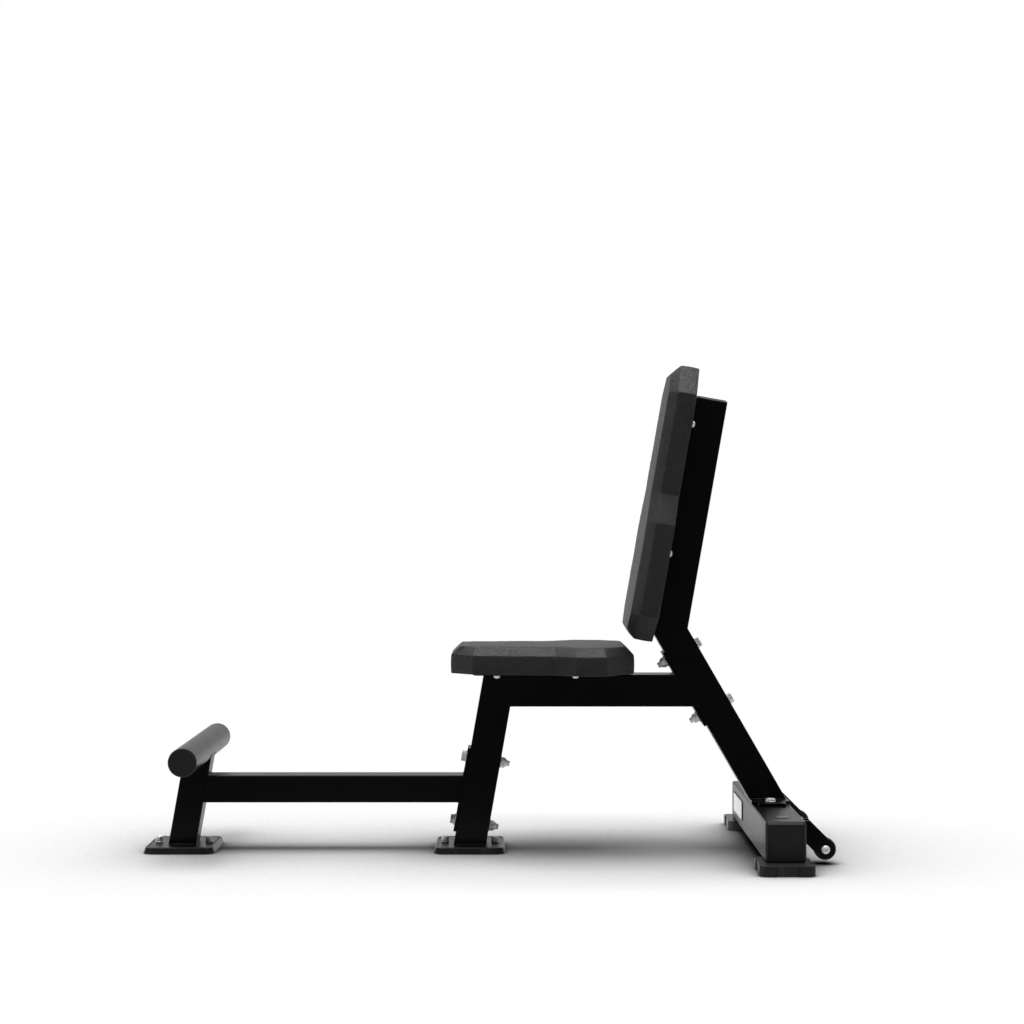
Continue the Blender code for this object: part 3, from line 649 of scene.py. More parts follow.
class Shape:
    """Closed shells that become one piece of the bench."""

    def __init__(self):
        self.bm = bmesh.new()

    def loft(self, sections, where=Matrix.Identity(4), ring=False, soften=0.0, steps=2):
        """Joins sections in order. A ring joins its last section to its first."""
        shell = bmesh.new()
        loops = []
        for outline, height in sections:
            level = height if callable(height) else lambda x, y, h=height: h
            loops.append([shell.verts.new((x, y, level(x, y))) for x, y in outline])
        skin(shell, loops, loops[0] if ring else None)
        bmesh.ops.recalc_face_normals(shell, faces=shell.faces)
        if soften:
            edges = [e for e in shell.edges
                     if len(e.link_faces) == 2 and e.calc_face_angle() > radians(32)]
            bmesh.ops.bevel(shell, geom=edges, offset=soften, segments=steps, profile=0.5,
                            affect="EDGES", clamp_overlap=True)
        shell.transform(where)
        mesh = bpy.data.meshes.new("shell")
        shell.to_mesh(mesh)
        shell.free()
        self.bm.from_mesh(mesh)
        bpy.data.meshes.remove(mesh)
        return self

    def sweep(self, path, radius, sides=8, closed=False):
        """A round bar along a path. The radius is a number, or a function of the length so far."""
        points = [Vector(p) for p in path]
        count = len(points)
        rings = []
        run = 0.0
        side = None
        for i, here in enumerate(points):
            before = points[i - 1] if i or closed else here
            after = points[(i + 1) % count] if i < count - 1 or closed else here
            ahead = (after - before).normalized()
            if side is None:
                side = ahead.orthogonal().normalized()
            side = (side - ahead * side.dot(ahead)).normalized()
            up = ahead.cross(side)
            run += (here - points[i - 1]).length if i else 0.0
            reach = radius(run) if callable(radius) else radius
            rings.append([self.bm.verts.new(here + (side * cos(a) + up * sin(a)) * reach)
                          for a in (2 * pi * k / sides for k in range(sides))])
        first = None
        if closed:
            turn = min(range(sides), key=lambda k: (rings[0][k].co - rings[-1][0].co).length)
            first = rings[0][turn:] + rings[0][:turn]
        skin(self.bm, rings, first)

    def piece(self, name, finish, stands_for=(), body="bench"):
        bmesh.ops.recalc_face_normals(self.bm, faces=self.bm.faces)
        mesh = bpy.data.meshes.new(name)
        self.bm.to_mesh(mesh)
        self.bm.free()
        mesh.shade_smooth()
        mesh.set_sharp_from_angle(angle=radians(38))
        mesh.materials.append(finish.material)
        obj = add_object(name, mesh)
        obj.modifiers.new("even_shading", "WEIGHTED_NORMAL").keep_sharp = True
        if stands_for:
            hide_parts(*stands_for)
        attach(obj, body)
        return obj


def solid(name, finish, nodes, *form, **options):
    """A piece that is one loft."""
    Shape().loft(*form, **options).piece(name, finish, nodes)


def plate(name, finish, nodes, outline, thick, where, soften=PLATE_EDGE, steps=2):
    """A plate with softened edges, whose outline stands on its place."""
    solid(name, finish, nodes, [(outline, 0), (outline, thick)], where, soften=soften, steps=steps)


# Weld beads

def evenly(path, closed):
    """The same path with points at equal steps."""
    points = [Vector(p) for p in path]
    if closed:
        points.append(points[0])
    spots = []
    for a, b in zip(points, points[1:]):
        parts = max(1, round((b - a).length / BEAD_STEP))
        spots += [a.lerp(b, k / parts) for k in range(parts)]
    return spots if closed else spots + [points[-1]]


def bead(shape, path, radius, closed=False):
    """A weld: a bar of overlapping ripples, a little uneven along its length."""
    def reach(run):
        ripple = 0.90 + 0.12 * abs(cos(pi * run / BEAD_PITCH))
        return radius * (ripple + 0.05 * sin(run * 190.0) + 0.03 * sin(run * 517.0))
    shape.sweep(evenly(path, closed), reach, closed=closed)


# Fasteners

def thread(shape, where, radius, low, high, sides=24):
    """A threaded end: the groove climbs once round in each pitch, and the tip is chamfered."""
    rows = ceil((high - low) / THREAD_PITCH * 6)
    sections = []
    for row in range(rows + 1):
        z = low + (high - low) * row / rows
        outline = []
        for k in range(sides):
            phase = (z / THREAD_PITCH - k / sides) % 1
            groove = abs(phase - 0.5) * 2
            reach = min(radius * (1 - 0.14 * groove), radius * 0.80 + (high - z) * 1.2)
            angle = 2 * pi * k / sides
            outline.append((reach * cos(angle), reach * sin(angle)))
        sections.append((outline, z))
    shape.loft(sections, where)


def washer(shape, where, seat, hole):
    radius, thick = seat
    soft = thick * 0.22
    bore = radius - hole
    profile = ((bore, 0), (soft, 0), (0, soft), (0, thick - soft), (soft, thick), (bore, thick))
    shape.loft(turned(radius, profile), where, ring=True)


def hex_head(shape, where, size, seat):
    """A hexagon head on its washer, with its top corners turned away and its top dished."""
    hole, flats, height = size
    lift = seat[1]
    washer(shape, where, seat, hole)
    sections = [(hexagon(flats, flats * 0.475 + 0.0004), lift), (hexagon(flats), lift + 0.0004)]
    corner = flats / sqrt(3)
    top = flats * 0.47
    for share in (0.0, 0.25, 0.5, 0.75, 1.0):
        reach = corner + (top - corner) * share
        sections.append((hexagon(flats, reach), lift + height - (reach - top) * 0.55))
    sections += [(circle(flats * 0.40), lift + height),
                 (circle(flats * 0.375), lift + height - 0.0003)]
    return shape.loft(sections, where)


def hex_bolt(name, where, size, seat, node):
    hex_head(Shape(), where, size, seat).piece(name, ZINC, [node])


def lock_nut(name, where, size, seat, node):
    """A nut with a nylon locking ring, its washer, and the end of the bolt that comes out."""
    bore, flats, height, tip = size
    lift = seat[1]
    end = lift + height
    facet = lift + height * 0.66
    collar = flats * 0.45
    turned_off = flats * 0.49
    fall = (flats / sqrt(3) - turned_off) * 0.55
    profile = ((collar, facet + height * 0.05), (collar, end - 0.0012),
               (collar - 0.0004, end - 0.0004), (collar - 0.0012, end),
               (collar - 0.0018, end - 0.0003), (collar - 0.0018, end - 0.0012),
               (bore, end - 0.0012))
    shape = Shape()
    washer(shape, where, seat, bore)
    shape.loft([(circle(bore), lift), (hexagon(flats, turned_off), lift),
                (hexagon(flats), lift + fall), (hexagon(flats), facet - fall),
                (hexagon(flats, turned_off), facet)]
               + [(circle(radius), z) for radius, z in profile], where, ring=True)
    thread(shape, where, bore, end - 0.002, end + tip)
    shape.piece(name, ZINC, [node])
    inner = bore - 0.0002
    outer = collar - 0.0019
    ring = [(circle(radius), end - below) for radius, below in
            ((inner, 0.0018), (outer, 0.0018), (outer, 0.0008), (inner, 0.0006))]
    solid(name + "_ring", NYLON, (), ring, where, ring=True)


def button_head(where, head, seat):
    """A domed head with a hexagon socket, on its washer."""
    hole, radius, height, socket = head
    lift = seat[1]
    shape = Shape()
    washer(shape, where, seat, hole)
    sections = [(circle(radius * 0.97), lift), (circle(radius), lift + 0.0003)]
    for degrees in range(90, 29, -10):
        angle = radians(degrees)
        crown = lift + height * (0.25 + 0.75 * cos(angle))
        sections.append((circle(radius * sin(angle)), crown))
    sections += [(circle(socket * 0.60), crown + 0.0001), (hexagon(socket), crown - 0.0003),
                 (hexagon(socket), crown - height * 0.55),
                 (circle(socket * 0.1), crown - height * 0.65)]
    return shape.loft(sections, where)


# Frame

def make_tubes():
    post = (POST_SIZE, POST_WALL, POST_CORNER)
    low_tube = (FOOT_TUBE_SIZE, FOOT_TUBE_WALL, POST_CORNER)
    runs = {
        "rear_post": (post, REAR_AXIS, slope_from(GAP, tan(REAR)),
                      slope_from(KNEE_HEIGHT - GAP / 2, -KNEE_SLOPE)),
        "back_upright": (post, BACK_AXIS, slope_from(GAP / 2, KNEE_SLOPE), UPRIGHT_LENGTH),
        "front_post": (post, SEAT_AXIS, slope_from(GAP, tan(TILT)),
                       slope_from(CORNER_HEIGHT - GAP / 2, -CORNER_SLOPE)),
        "seat_tube": (post, SEAT_LINE, slope_from(GAP / 2, CORNER_SLOPE),
                      slope_from(SEAT_RUN - GAP, -tan(REAR))),
        "foot_tube": (low_tube, FOOT_LINE, slope_from(0, -tan(TILT)),
                      slope_from(FOOT_RUN - GAP, -tan(TILT))),
    }
    for name, (tube, axis, low, high) in runs.items():
        solid(name + "_tube", PAINT, [name], square_tube(*tube, low, high), axis, ring=True)


def make_welds():
    """Fillets where tubes meet plates, and low dressed seams at the two mitres. Each bead runs
    round its tube, at a height and slope on the tube's axis, and sinks a little into its face."""
    fillet = 0.0004
    seam = 0.0012
    shape = Shape()
    for axis, size, height, slope, radius, sink in (
            (REAR_AXIS, POST_SIZE, GAP, tan(REAR), FILLET, fillet),
            (SEAT_AXIS, POST_SIZE, GAP, tan(TILT), FILLET, fillet),
            (FOOT_AXIS, FOOT_TUBE_SIZE, GAP, tan(TILT), FILLET, fillet),
            (SEAT_LINE, POST_SIZE, SEAT_RUN - FILLET, -tan(REAR), 0.0011, fillet),
            (FOOT_LINE, FOOT_TUBE_SIZE, FOOT_RUN - FILLET, -tan(TILT), 0.0011, fillet),
            (FOOT_LINE, FOOT_TUBE_SIZE, 2 * GAP, -tan(TILT), 0.0010, fillet),
            (REAR_AXIS, POST_SIZE, KNEE_HEIGHT, -KNEE_SLOPE, SEAM, seam),
            (SEAT_AXIS, POST_SIZE, CORNER_HEIGHT, -CORNER_SLOPE, SEAM, seam)):
        around = soft_rectangle(size - 2 * sink, size - 2 * sink, POST_CORNER - sink, 4)
        bead(shape, [axis @ Vector((x, y, height + slope * x)) for x, y in around], radius,
             closed=True)
    shape.piece("frame_weld_beads", PAINT)


def make_foot_post():
    """The post is cut round to carry the bar, with a bead along the saddle."""
    def saddle(x, y):
        return FOOT_BAR_HEIGHT - sqrt((FOOT_BAR_RADIUS + GAP) ** 2 - x ** 2)

    tube = square_tube(FOOT_TUBE_SIZE, FOOT_TUBE_WALL, POST_CORNER, slope_from(GAP, tan(TILT)),
                       saddle)
    parts = side_parts(tube[0][0], 0.003)
    solid("foot_post_tube", PAINT, ["foot_post"],
          [(cut_sides(outline, parts), level) for outline, level in tube], FOOT_AXIS, ring=True)
    around = finer(soft_rectangle(FOOT_TUBE_SIZE, FOOT_TUBE_SIZE, POST_CORNER, 4), 0.003)
    seam = Shape()
    bead(seam, [FOOT_AXIS @ Vector((x, y, saddle(x, y) + 0.0004)) for x, y in around], SEAM,
         closed=True)
    seam.piece("foot_bar_weld_bead", PAINT)


def make_foot_bar():
    across = FOOT_AXIS @ pose(0, 0, FOOT_BAR_HEIGHT, about_x=-90)
    half = FOOT_BAR_HALF
    soft = 0.0004
    profile = ((soft, -half), (0, soft - half), (0, half - soft), (soft, half),
               (POST_WALL, half), (POST_WALL, -half))
    solid("foot_bar_tube", PAINT, ["foot_bar"], turned(FOOT_BAR_RADIUS, profile, BAR_SIDES),
          across, ring=True)
    bore = POST_WALL + GAP
    for side, word in SIDES:
        where = FOOT_AXIS @ pose(0, side * (half + GAP), FOOT_BAR_HEIGHT, about_x=-90 * side)
        solid("foot_bar_plug_" + word, CAP_PLASTIC, ["foot_bar_cap_" + word],
              turned(FOOT_BAR_RADIUS, ((bore, -PLUG_DEPTH), (bore, 0)) + BAR_PLUG, BAR_SIDES),
              where)


def square_plug(size, corner, drop=0.0):
    """The visible half of an end cap: a flange with chamfered edges and a groove round its flat
    face, which can sit below the middle."""
    bore = size - 2 * POST_WALL - 2 * GAP
    hollow = soft_rectangle(bore, bore, 0.0015)
    face = size - 2 * CAP_SOFT

    def square(side, share=0.0):
        return [(x, y - drop * share) for x, y in soft_rectangle(side, side, corner)]

    return ([(hollow, -PLUG_DEPTH), (hollow, 0)]
            + [(square(size - cut), z) for cut, z in CAP_RIM]
            + [(square(face + 0.0006, 0.9), CAP_FLANGE - 0.0004)]
            + [(square(face - cut, 1), CAP_FLANGE - depth) for cut, depth in CAP_GROOVE])


def make_caps():
    for side, word in SIDES:
        solid("crossmember_plug_" + word, CAP_PLASTIC, ["crossmember_cap_" + word],
              square_plug(CROSS_SIZE, CROSS_CORNER, -side * CAP_DROP),
              pose(CROSS_X, side * (CROSS_HALF + GAP), CROSS_Z, about_x=-90 * side))
        solid("foot_screw_plug_" + word, PLUG_PLASTIC, ["access_plug_" + word],
              turned(ACCESS_PLUG_RADIUS, ACCESS_PLUG),
              pose(REAR_FOOT_X, side * ACCESS_PLUG_Y, CROSS_TOP + GAP))
    solid("upright_plug", CAP_PLASTIC, ["upright_cap"], square_plug(POST_SIZE, POST_CORNER),
          BACK_AXIS @ pose(0, 0, UPRIGHT_LENGTH + GAP))


def make_crossmember():
    solid("crossmember_tube", PAINT, ["rear_crossmember"],
          square_tube(CROSS_SIZE, POST_WALL, CROSS_CORNER, -CROSS_HALF, CROSS_HALF),
          pose(CROSS_X, 0, CROSS_Z, about_x=-90), ring=True)
    width, height, thick = NAMEPLATE
    where = pose(CROSS_X - HALF_CROSS - GAP, NAMEPLATE_Y, NAMEPLATE_Z, about_y=-90)
    # The dark backing's margin round the white face is a real backing and also painted shade,
    # standing in for the shadow along the plate's edge.
    plate("blank_plate_backing_and_edge_shade", CAP_PLASTIC, (), soft_rectangle(height, width, 0.004),
          thick - 0.0004, where, THIN_EDGE)
    high = height - NAMEPLATE_MARGIN[0]
    wide = width - NAMEPLATE_MARGIN[1]
    face = soft_rectangle(high, wide, 0.003)
    top = soft_rectangle(high - 0.0004, wide - 0.0004, 0.0028)
    solid("blank_plate_face", WHITE_LACQUER, ["nameplate"],
          [(face, thick - 0.0006), (face, thick - 0.0001), (top, thick)], where)


def make_rear_feet():
    """Rubber blocks with cut corners, rounded edges and a shallow notch in each side."""
    length, width, height = REAR_FOOT
    notch_length, notch_depth = REAR_FOOT_NOTCH
    end = notch_length / 2
    outline = []
    for quarter in range(4):
        along, across = (width, length) if quarter % 2 else (length, width)
        turn = Matrix.Rotation(radians(90 * quarter), 2)
        x = along / 2
        y = across / 2
        groove = x - notch_depth - 0.0006
        half_side = [(x, end + 0.0002), (groove, end - 0.0002), (groove, end - 0.0012),
                     (x - notch_depth, end - 0.0016)]
        side_points = ([(x, REAR_FOOT_CUT - y)] + [(a, -b) for a, b in half_side]
                       + half_side[::-1] + [(x, y - REAR_FOOT_CUT)])
        outline += [tuple(turn @ Vector(point)) for point in side_points]
    sections = [(inset(outline, 0.0003), 0), (outline, REAR_FOOT_EDGE)]
    for degrees in range(0, 91, 30):
        angle = radians(degrees)
        sections.append((inset(outline, REAR_FOOT_EDGE * (1 - cos(angle))),
                         height - REAR_FOOT_EDGE * (1 - sin(angle))))
    for side, word in SIDES:
        solid("rear_rubber_foot_" + word, FOOT_RUBBER, ["rear_foot_" + word], sections,
              pose(REAR_FOOT_X, side * REAR_FOOT_Y, 0))


def make_boots():
    """A rubber tray with a raised rim, the steel plate in it, and the plate's two bolts."""
    length, width, thick = FOOT_PLATE

    def tray(size, radius, cut):
        return soft_rectangle(size[0] - cut, size[1] - cut, radius, 8)

    top = BOOT_HEIGHT
    upper = BOOT_CORNER - 0.002
    well = tray((length, width), 0.010, -0.0006)
    sections = [(tray(BOOT_BOTTOM, BOOT_CORNER, cut), z) for cut, z in BOOT_SOLE]
    sections += [(tray(BOOT_TOP, upper, cut), top - below) for cut, below in BOOT_RIM]
    sections += [(tray(BOOT_TOP, upper - 0.002, 0.0068), top - 0.0014), (well, top - 0.0016),
                 (well, top - thick - GAP)]
    for word, x in BOOT_X.items():
        solid(word + "_rubber_boot", BOOT_RUBBER, [word + "_foot_boot"], sections, pose(x, 0, 0))
        plate(word + "_steel_plate", PAINT, [word + "_foot_plate"],
              soft_rectangle(length, width, 0.0095), thick, pose(x, 0, top - thick),
              FOOT_PLATE_EDGE, 3)
        bolts = Shape()
        for end in (-1, 1):
            where = pose(x + end * FOOT_BOLT_X, 0, top, about_z=20)
            hex_head(bolts, where, M8, WASHER_M8)
        bolts.piece(word + "_plate_bolts", ZINC)


def make_bolted_joint(axis, flange, prefix, middle, head_side):
    """A flange plate on the front of a post, and the two bolts through plate and post."""
    length, width, thick = JOINT_FLANGE
    plate(flange + "_plate", PAINT, [flange], cut_rectangle(length, width, 0.0035),
          thick + GAP + CONTACT, axis @ pose(CONTACT - HALF_POST, 0, middle, about_y=-90))
    post_face = HALF_POST + GAP
    plate_face = FLANGE_FACE + GAP
    head, nut = (post_face, plate_face) if head_side > 0 else (plate_face, post_face)
    for word, up, turn in (("lower", -0.5, 8), ("upper", 0.5, -17)):
        z = middle + up * JOINT_PITCH
        hex_bolt(prefix + "_hex_bolt_" + word,
                 axis @ pose(head_side * head, 0, z, about_y=90 * head_side, about_z=turn),
                 M12, WASHER_M12, prefix + "_bolt_" + word)
        lock_nut(prefix + "_lock_nut_" + word,
                 axis @ pose(-head_side * nut, 0, z, about_y=-90 * head_side, about_z=turn * 2),
                 NUT_M12, WASHER_M12, prefix + "_nut_" + word)


def make_base_joint():
    length, width, thick = BASE_FLANGE
    plate("base_flange_plate", PAINT, ["base_flange"],
          tongued(length, width, *BASE_TONGUE), thick, pose(CROSS_X, 0, CROSS_TOP + GAP), BASE_EDGE)
    for side, word in SIDES:
        hex_bolt("base_hex_bolt_" + word,
                 pose(BASE_BOLT_X, side * BASE_BOLT_Y, BASE_TOP + GAP, about_z=30),
                 M12_LOW, WASHER_LOW, "base_bolt_" + word)


def make_carriers():
    """The plate under the seat pad and the two tabs behind the back pad, with their welds."""
    length, width, thick = SEAT_PLATE
    plate("seat_carrier_plate", PAINT, ["seat_plate"],
          cut_rectangle(length, width, SEAT_PLATE_CUT), thick,
          pose(SEAT_PLATE_X, 0, SEAT_PAD_Z - thick - GAP))
    seams = Shape()
    under = SEAT_PAD_Z - thick - GAP - 0.0012
    for side in (-1, 1):
        y = side * (HALF_POST - 0.0004)
        for x in (-0.075, 0.0, 0.075):
            middle = SEAT_PLATE_X + x
            bead(seams, [(middle - 0.018, y, under), (middle + 0.018, y, under)], CARRIER_BEAD)
    tab_height, tab_width, tab_thick = TAB
    reach = tab_height / 2 - 0.004
    for word, station in TAB_STATIONS.items():
        middle = station - BACK_PAD_DROP
        plate("back_carrier_tab_" + word, PAINT, ["back_tab_" + word],
              cut_rectangle(tab_height, tab_width, TAB_CUT), tab_thick,
              BACK_AXIS @ pose(-HALF_POST - GAP, 0, middle, about_y=-90))
        for side in (-1, 1):
            y = side * (HALF_POST - 0.0006)
            bead(seams, [BACK_AXIS @ Vector((0.0010 - HALF_POST, y, z))
                         for z in (middle - reach, middle + reach)], CARRIER_BEAD)
    seams.piece("carrier_weld_beads", PAINT)


# Upholstery

def bend(start, corner, end, steps=4):
    """Points on a curve that leaves start towards corner and arrives at end."""
    shares = [i / steps for i in range(steps + 1)]
    return [tuple((1 - k) ** 2 * a + 2 * k * (1 - k) * b + k * k * c
                  for a, b, c in zip(start, corner, end)) for k in shares]


def make_pad(prefix, wide, face, place, drop, stations):
    """A crowned pad with folded edges, on its place, and what is on its back."""
    last = len(wide) - 1
    radii = [PAD_END_CORNER if i in (last, last + 1) else PAD_CORNER for i in range(2 * len(wide))]
    edge = mirrored(wide)
    side = rounded(edge, radii)
    top = rounded(mirrored(face), radii)
    rear = rounded(inset(edge, PAD_EDGE), [radius - PAD_EDGE for radius in radii])
    inner = rounded(inset(edge, BACK_MARGIN), 0.004)
    length = wide[-1][0]
    spine = [(min(max(x, PAD_SPINE), length - PAD_SPINE), PAD_SPINE * y) for x, y in top]
    chamfer = PAD_THICK - PAD_CHAMFER
    fold = PAD_EDGE / sqrt(PAD_CHAMFER ** 2 + (wide[1][1] - face[1][1]) ** 2)

    # Up the side, over the chamfer and across the face
    rings = [(inner, 0.0004)] + part_way(rear, inner, [(0.1, 0)])
    rings += part_way(rear, side, bend((0, 0), (1, 0), (1, PAD_EDGE)))
    for share in (0.25, 0.5, 0.75):
        swell = PAD_SWELL * (1 - (2 * share - 1) ** 2)
        rings.append((inset_points(side, -swell), PAD_EDGE + (chamfer - 2 * PAD_EDGE) * share))
    spots = bend((0, chamfer - PAD_EDGE), (0, chamfer), (fold, chamfer + fold * PAD_CHAMFER))
    spots += [(share, chamfer + PAD_CHAMFER * share + 0.0003) for share in (0.3, 0.5, 0.7)]
    spots += bend((1 - fold, chamfer + (1 - fold) * PAD_CHAMFER), (1, PAD_THICK - 0.0003),
                  (1 + fold * 0.8, PAD_THICK))
    rings += part_way(side, top, spots)
    shares = [0.05 + 0.093 * k for k in range(1, 11)]
    rings += part_way(top, spine, [(share, PAD_THICK + PAD_CROWN * (1 - (1 - share) ** 2))
                                   for share in shares])
    parts = side_parts(side, 0.010)
    pad = Shape().loft([(cut_sides(outline, parts), z) for outline, z in rings])
    for vert in pad.bm.verts:
        if vert.co.z > 0.002:
            drift = (noise.noise(vert.co * 28) * 0.0005
                     + noise.noise(vert.co * 90 + Vector((3, 5, 7))) * 0.0002)
            vert.co.z += drift
            vert.co.y += drift * (1 if vert.co.y > 0 else -1) * 0.8
    pad.bm.transform(place)
    cushion = pad.piece(prefix + "_pad_cover", VINYL, [prefix + "_cushion", prefix + "_board"])

    cloth = rounded(inset(edge, DUST_COVER_MARGIN), 0.006)
    solid(prefix + "_dust_cover", SPUN_CLOTH, (),
          [(cloth, 0.0006), (cloth, -0.0001), (inset_points(cloth, 0.0004), -0.0002)], place)
    make_staples(prefix, edge, place)
    for word, station in stations.items():
        for hand, side_word in SIDES:
            where = place @ pose(station, hand * PAD_BOLT_Y, -drop, about_y=180)
            button_head(where, BUTTON_M8, WASHER_PAD).piece(
                prefix + "_button_bolt_" + word + "_" + side_word, ZINC,
                [prefix + "_pad_bolt_" + word + "_" + side_word])


def make_staples(prefix, edge, place):
    """Staples along the edge of the dust cover."""
    staples = Shape()
    line = finer(rounded(inset(edge, STAPLE_MARGIN), 0.006, 3), 0.004)
    run = 0.0
    for _, (x, y), (bx, by) in neighbours(line):
        run += sqrt((bx - x) ** 2 + (by - y) ** 2)
        if run > STAPLE_PITCH:
            run = 0.0
            ahead = Vector((bx - x, by - y, 0)).normalized()
            staples.sweep([place @ (Vector((x, y, 0)) + ahead * along + Vector((0, 0, z)))
                           for along, z in STAPLE], STAPLE_WIRE_RADIUS, 6)
    staples.piece(prefix + "_staples", STAPLE_WIRE)


# Transport wheels

def make_wheels():
    """Two cheeks of each bracket with their welds, the wheel, and its axle bolt and nut."""
    reach = BRACKET_RADIUS * sqrt(2)
    front = CROSS_X + HALF_CROSS + GAP - WHEEL_X
    top = BRACKET_TOP - WHEEL_Z
    outline = [(front, -reach - front), (front, top), (reach - top, top)]
    outline += [(BRACKET_RADIUS * cos(a), BRACKET_RADIUS * sin(a))
                for a in (radians(45 - 180 * k / 24) for k in range(25))]
    half_space = BRACKET_SPACE / 2
    half_thick = BRACKET_THICK / 2
    seams = Shape()
    for side, word in SIDES:
        for out, place in ((1, "outer"), (-1, "inner")):
            y = side * (WHEEL_Y + out * (half_space + half_thick))
            solid("wheel_cheek_" + word + "_" + place, PAINT,
                  ["wheel_bracket_" + word + "_" + place],
                  [(outline, -half_thick), (outline, half_thick)],
                  pose(WHEEL_X, y, WHEEL_Z, about_x=90), soften=PLATE_EDGE)
            x = CROSS_X + HALF_CROSS + 0.0010
            for face in (-1, 1):
                line = y + face * (half_thick + 0.0004)
                bead(seams, [(x, line, WHEEL_Z + 0.006), (x, line, BRACKET_TOP - 0.004)],
                     BRACKET_BEAD)
        make_wheel(word, side)
        outer_face = side * (WHEEL_Y + half_space + BRACKET_THICK + GAP)
        inner_face = side * (WHEEL_Y - half_space - BRACKET_THICK - GAP)
        where = pose(WHEEL_X, outer_face, WHEEL_Z, about_x=-90 * side)
        shank = circle(AXLE_SHANK[0], 32)
        bolt = button_head(where, BUTTON_M10, AXLE_SEAT)
        bolt.loft([(shank, 0.0006), (shank, -AXLE_SHANK[1])], where)
        bolt.piece("axle_button_bolt_" + word, ZINC, ["axle_bolt_" + word])
        lock_nut("axle_lock_nut_" + word,
                 pose(WHEEL_X, inner_face, WHEEL_Z, about_x=90 * side, about_z=20),
                 NUT_M10, WASHER_M10, "axle_nut_" + word)
    seams.piece("bracket_weld_beads", PAINT)


def make_wheel(word, side):
    """A solid wheel with a rounded tread, and a hub and six ribs in a dish on both sides."""
    half = WHEEL_WIDTH / 2
    rim = WHEEL_RADIUS
    profile = [(WHEEL_BORE, half), (0.0088, half), (0.0092, half - 0.0004),
               (0.0096, half - 0.0024), (0.0148, half - 0.0024), (0.0154, half - 0.0004),
               (0.0160, half), (rim - 0.0018, half), (rim - 0.0009, half - 0.0003),
               (rim - 0.0002, half - 0.0010), (rim, half - 0.0020), (rim, half - 0.0080),
               (rim - 0.0006, half - 0.0086)]
    halves = profile + [(radius, -height) for radius, height in reversed(profile)]
    where = pose(WHEEL_X, side * WHEEL_Y, WHEEL_Z, about_x=-90)
    wheel = Shape().loft([(circle(radius, WHEEL_SIDES), height) for radius, height in halves],
                         where, ring=True)
    length, width, height = WHEEL_RIB
    rib = rectangle(length, width)
    for k in range(6):
        for face in (-1, 1):
            turn = (Matrix.Rotation(radians(60 * k), 4, "Z")
                    @ Matrix.Translation((0.0122, 0, face * (half - 0.0016))))
            wheel.loft([(rib, -height / 2), (rib, height / 2)], where @ turn, soften=THIN_EDGE)
    wheel.piece("wheel_tread_" + word, FOOT_RUBBER, ["wheel_" + word], body=word + "_wheel")


# Camera, lights and floor

def make_camera():
    camera = bpy.data.cameras.new("camera")
    camera.lens = LENS
    camera.sensor_width = 36
    viewpoint = add_object("camera", camera)
    viewpoint.location = VIEWPOINT
    viewpoint.rotation_euler = (radians(90), 0, 0)
    bpy.context.scene.camera = viewpoint
    bpy.context.scene.view_settings.view_transform = "Standard"


def make_overhead_lights():
    """Soft round lights overhead, in a row along the bench."""
    for tilt, energy in OVERHEAD:
        sun = bpy.data.lights.new("overhead_light", "SUN")
        sun.energy = energy
        sun.angle = radians(OVERHEAD_WIDTH)
        add_object("overhead_light", sun).rotation_euler = (0, radians(tilt), 0)


def make_backdrop():
    """White paper behind the bench, and an unlit room on the camera's side."""
    world = bpy.data.worlds.new("studio")
    world.use_nodes = True
    bpy.context.scene.world = world
    room = Nodes(world.node_tree)
    direction = room.add("ShaderNodeTexCoord", {}, {}, "Generated")
    behind = room.add("ShaderNodeSeparateXYZ", {}, {0: direction}, "Y").between(*PAPER_SIDE)
    glare = ROOM_GLARE + behind * (PAPER_GLARE - ROOM_GLARE)
    backdrop = world.node_tree.nodes["Background"]
    room.feed(backdrop.inputs["Strength"], room.ray("Is Camera Ray") + room.mirrored() * glare)
    backdrop.inputs["Color"].default_value = (1, 1, 1, 1)


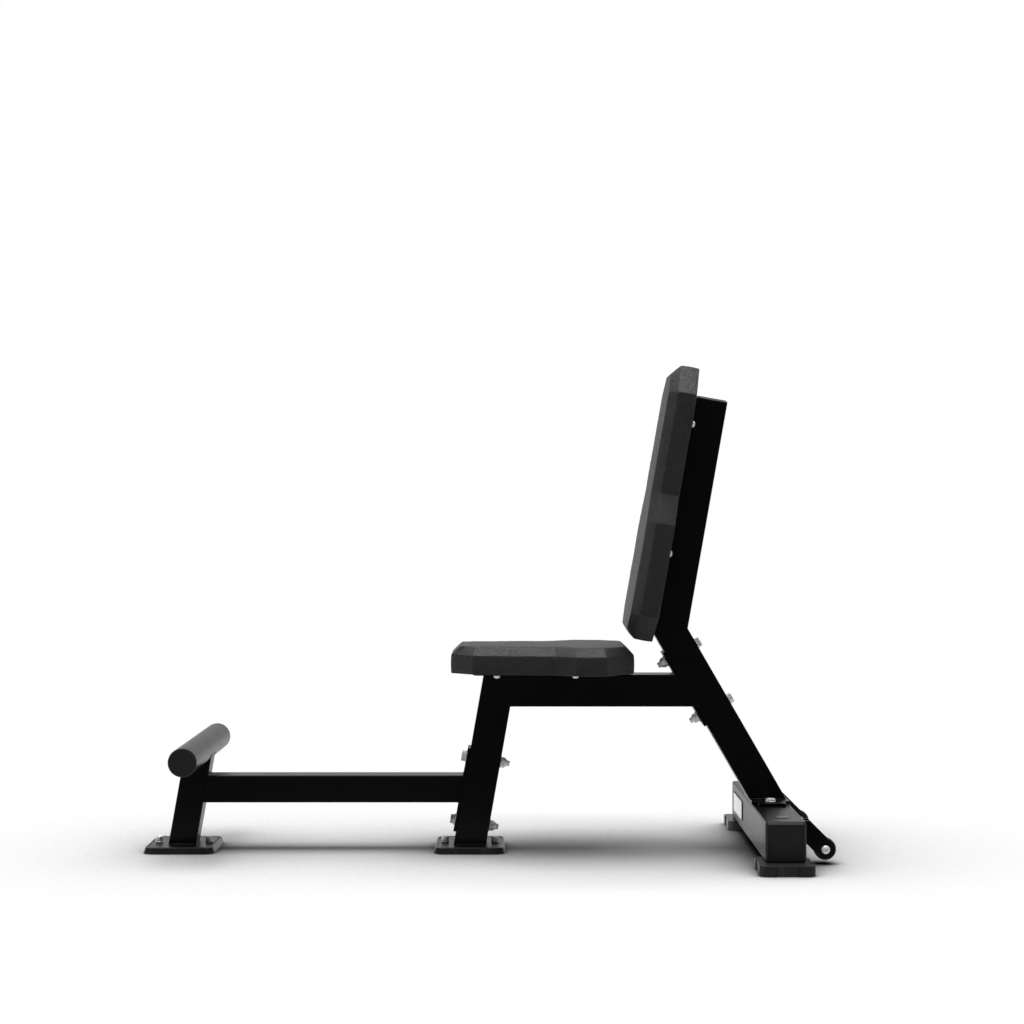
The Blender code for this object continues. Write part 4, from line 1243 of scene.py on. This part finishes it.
def make_floor():
    """A white floor that keeps the bench's shadow, and runs on into the white paper. For the
    camera, its colour is darkened with painted shade wherever the bench closes off the space above
    it. For what mirrors it from the front, it is painted dark, standing in for the unlit room."""
    mesh = bpy.data.meshes.new("studio_floor")
    mesh.from_pydata([(-40, -40, 0), (40, -40, 0), (40, 40, 0), (-40, 40, 0)], [],
                     [(0, 1, 2, 3)])
    floor = add_object("studio_floor", mesh)
    paper = Finish("white_paper_floor", Roughness=1.0, Specular_IOR_Level=0.0)
    mirrored_ray = paper.mirrored()
    camera_ray = paper.ray("Is Camera Ray")
    spot = paper.place()
    behind = paper.add("ShaderNodeSeparateXYZ", {}, {0: spot}, "Y").between(*FLOOR_FADE)
    open_sky = paper.add("ShaderNodeAmbientOcclusion", {"samples": 8},
                         {"Distance": SHADE_REACH}, "AO")
    # Painted shade: for the camera, ambient occlusion darkens the floor's colour near the bench,
    # and for mirrored rays the floor in front is painted dark.
    shade = 1 - mirrored_ray * (1 - behind) - camera_ray * (1 - open_sky ** SHADE_DEPTH)
    paper.feed(paper.shader.inputs["Base Color"],
               paper.tint(shade, (0.02, 0.02, 0.02), FLOOR_WHITE))
    far = paper.add("ShaderNodeVectorMath", {"operation": "LENGTH"}, {0: spot},
                    "Value").between(*PAPER_SWEEP)
    glow = paper.add("ShaderNodeEmission", {}, {"Strength": 1.0})
    lit = Value(paper, paper.shader.outputs[0])
    swept = paper.add("ShaderNodeMixShader", {},
                      {0: far * (camera_ray + mirrored_ray * behind), 1: lit, 2: glow})
    paper.feed(paper.tree.nodes["Material Output"].inputs["Surface"], swept)
    mesh.materials.append(paper.material)


def make_frame():
    make_tubes()
    make_welds()
    make_foot_post()
    make_foot_bar()
    make_crossmember()
    make_caps()
    make_rear_feet()
    make_boots()
    make_base_joint()
    make_bolted_joint(REAR_AXIS, "seat_frame_flange", "rear_joint", REAR_JOINT_HEIGHT, 1)
    make_bolted_joint(SEAT_AXIS, "foot_frame_flange", "front_joint", FRONT_JOINT_HEIGHT, -1)
    make_carriers()


def make_pads():
    make_pad("seat", SEAT_WIDE, SEAT_FACE, SEAT_PAD, SEAT_PLATE[2] + 2 * GAP, SEAT_BOLT_STATIONS)
    make_pad("back", BACK_WIDE, BACK_FACE, BACK_PAD, TAB[2] + 2 * GAP, TAB_STATIONS)


make_frame()
make_pads()
make_wheels()
make_camera()
make_overhead_lights()
make_backdrop()
make_floor()
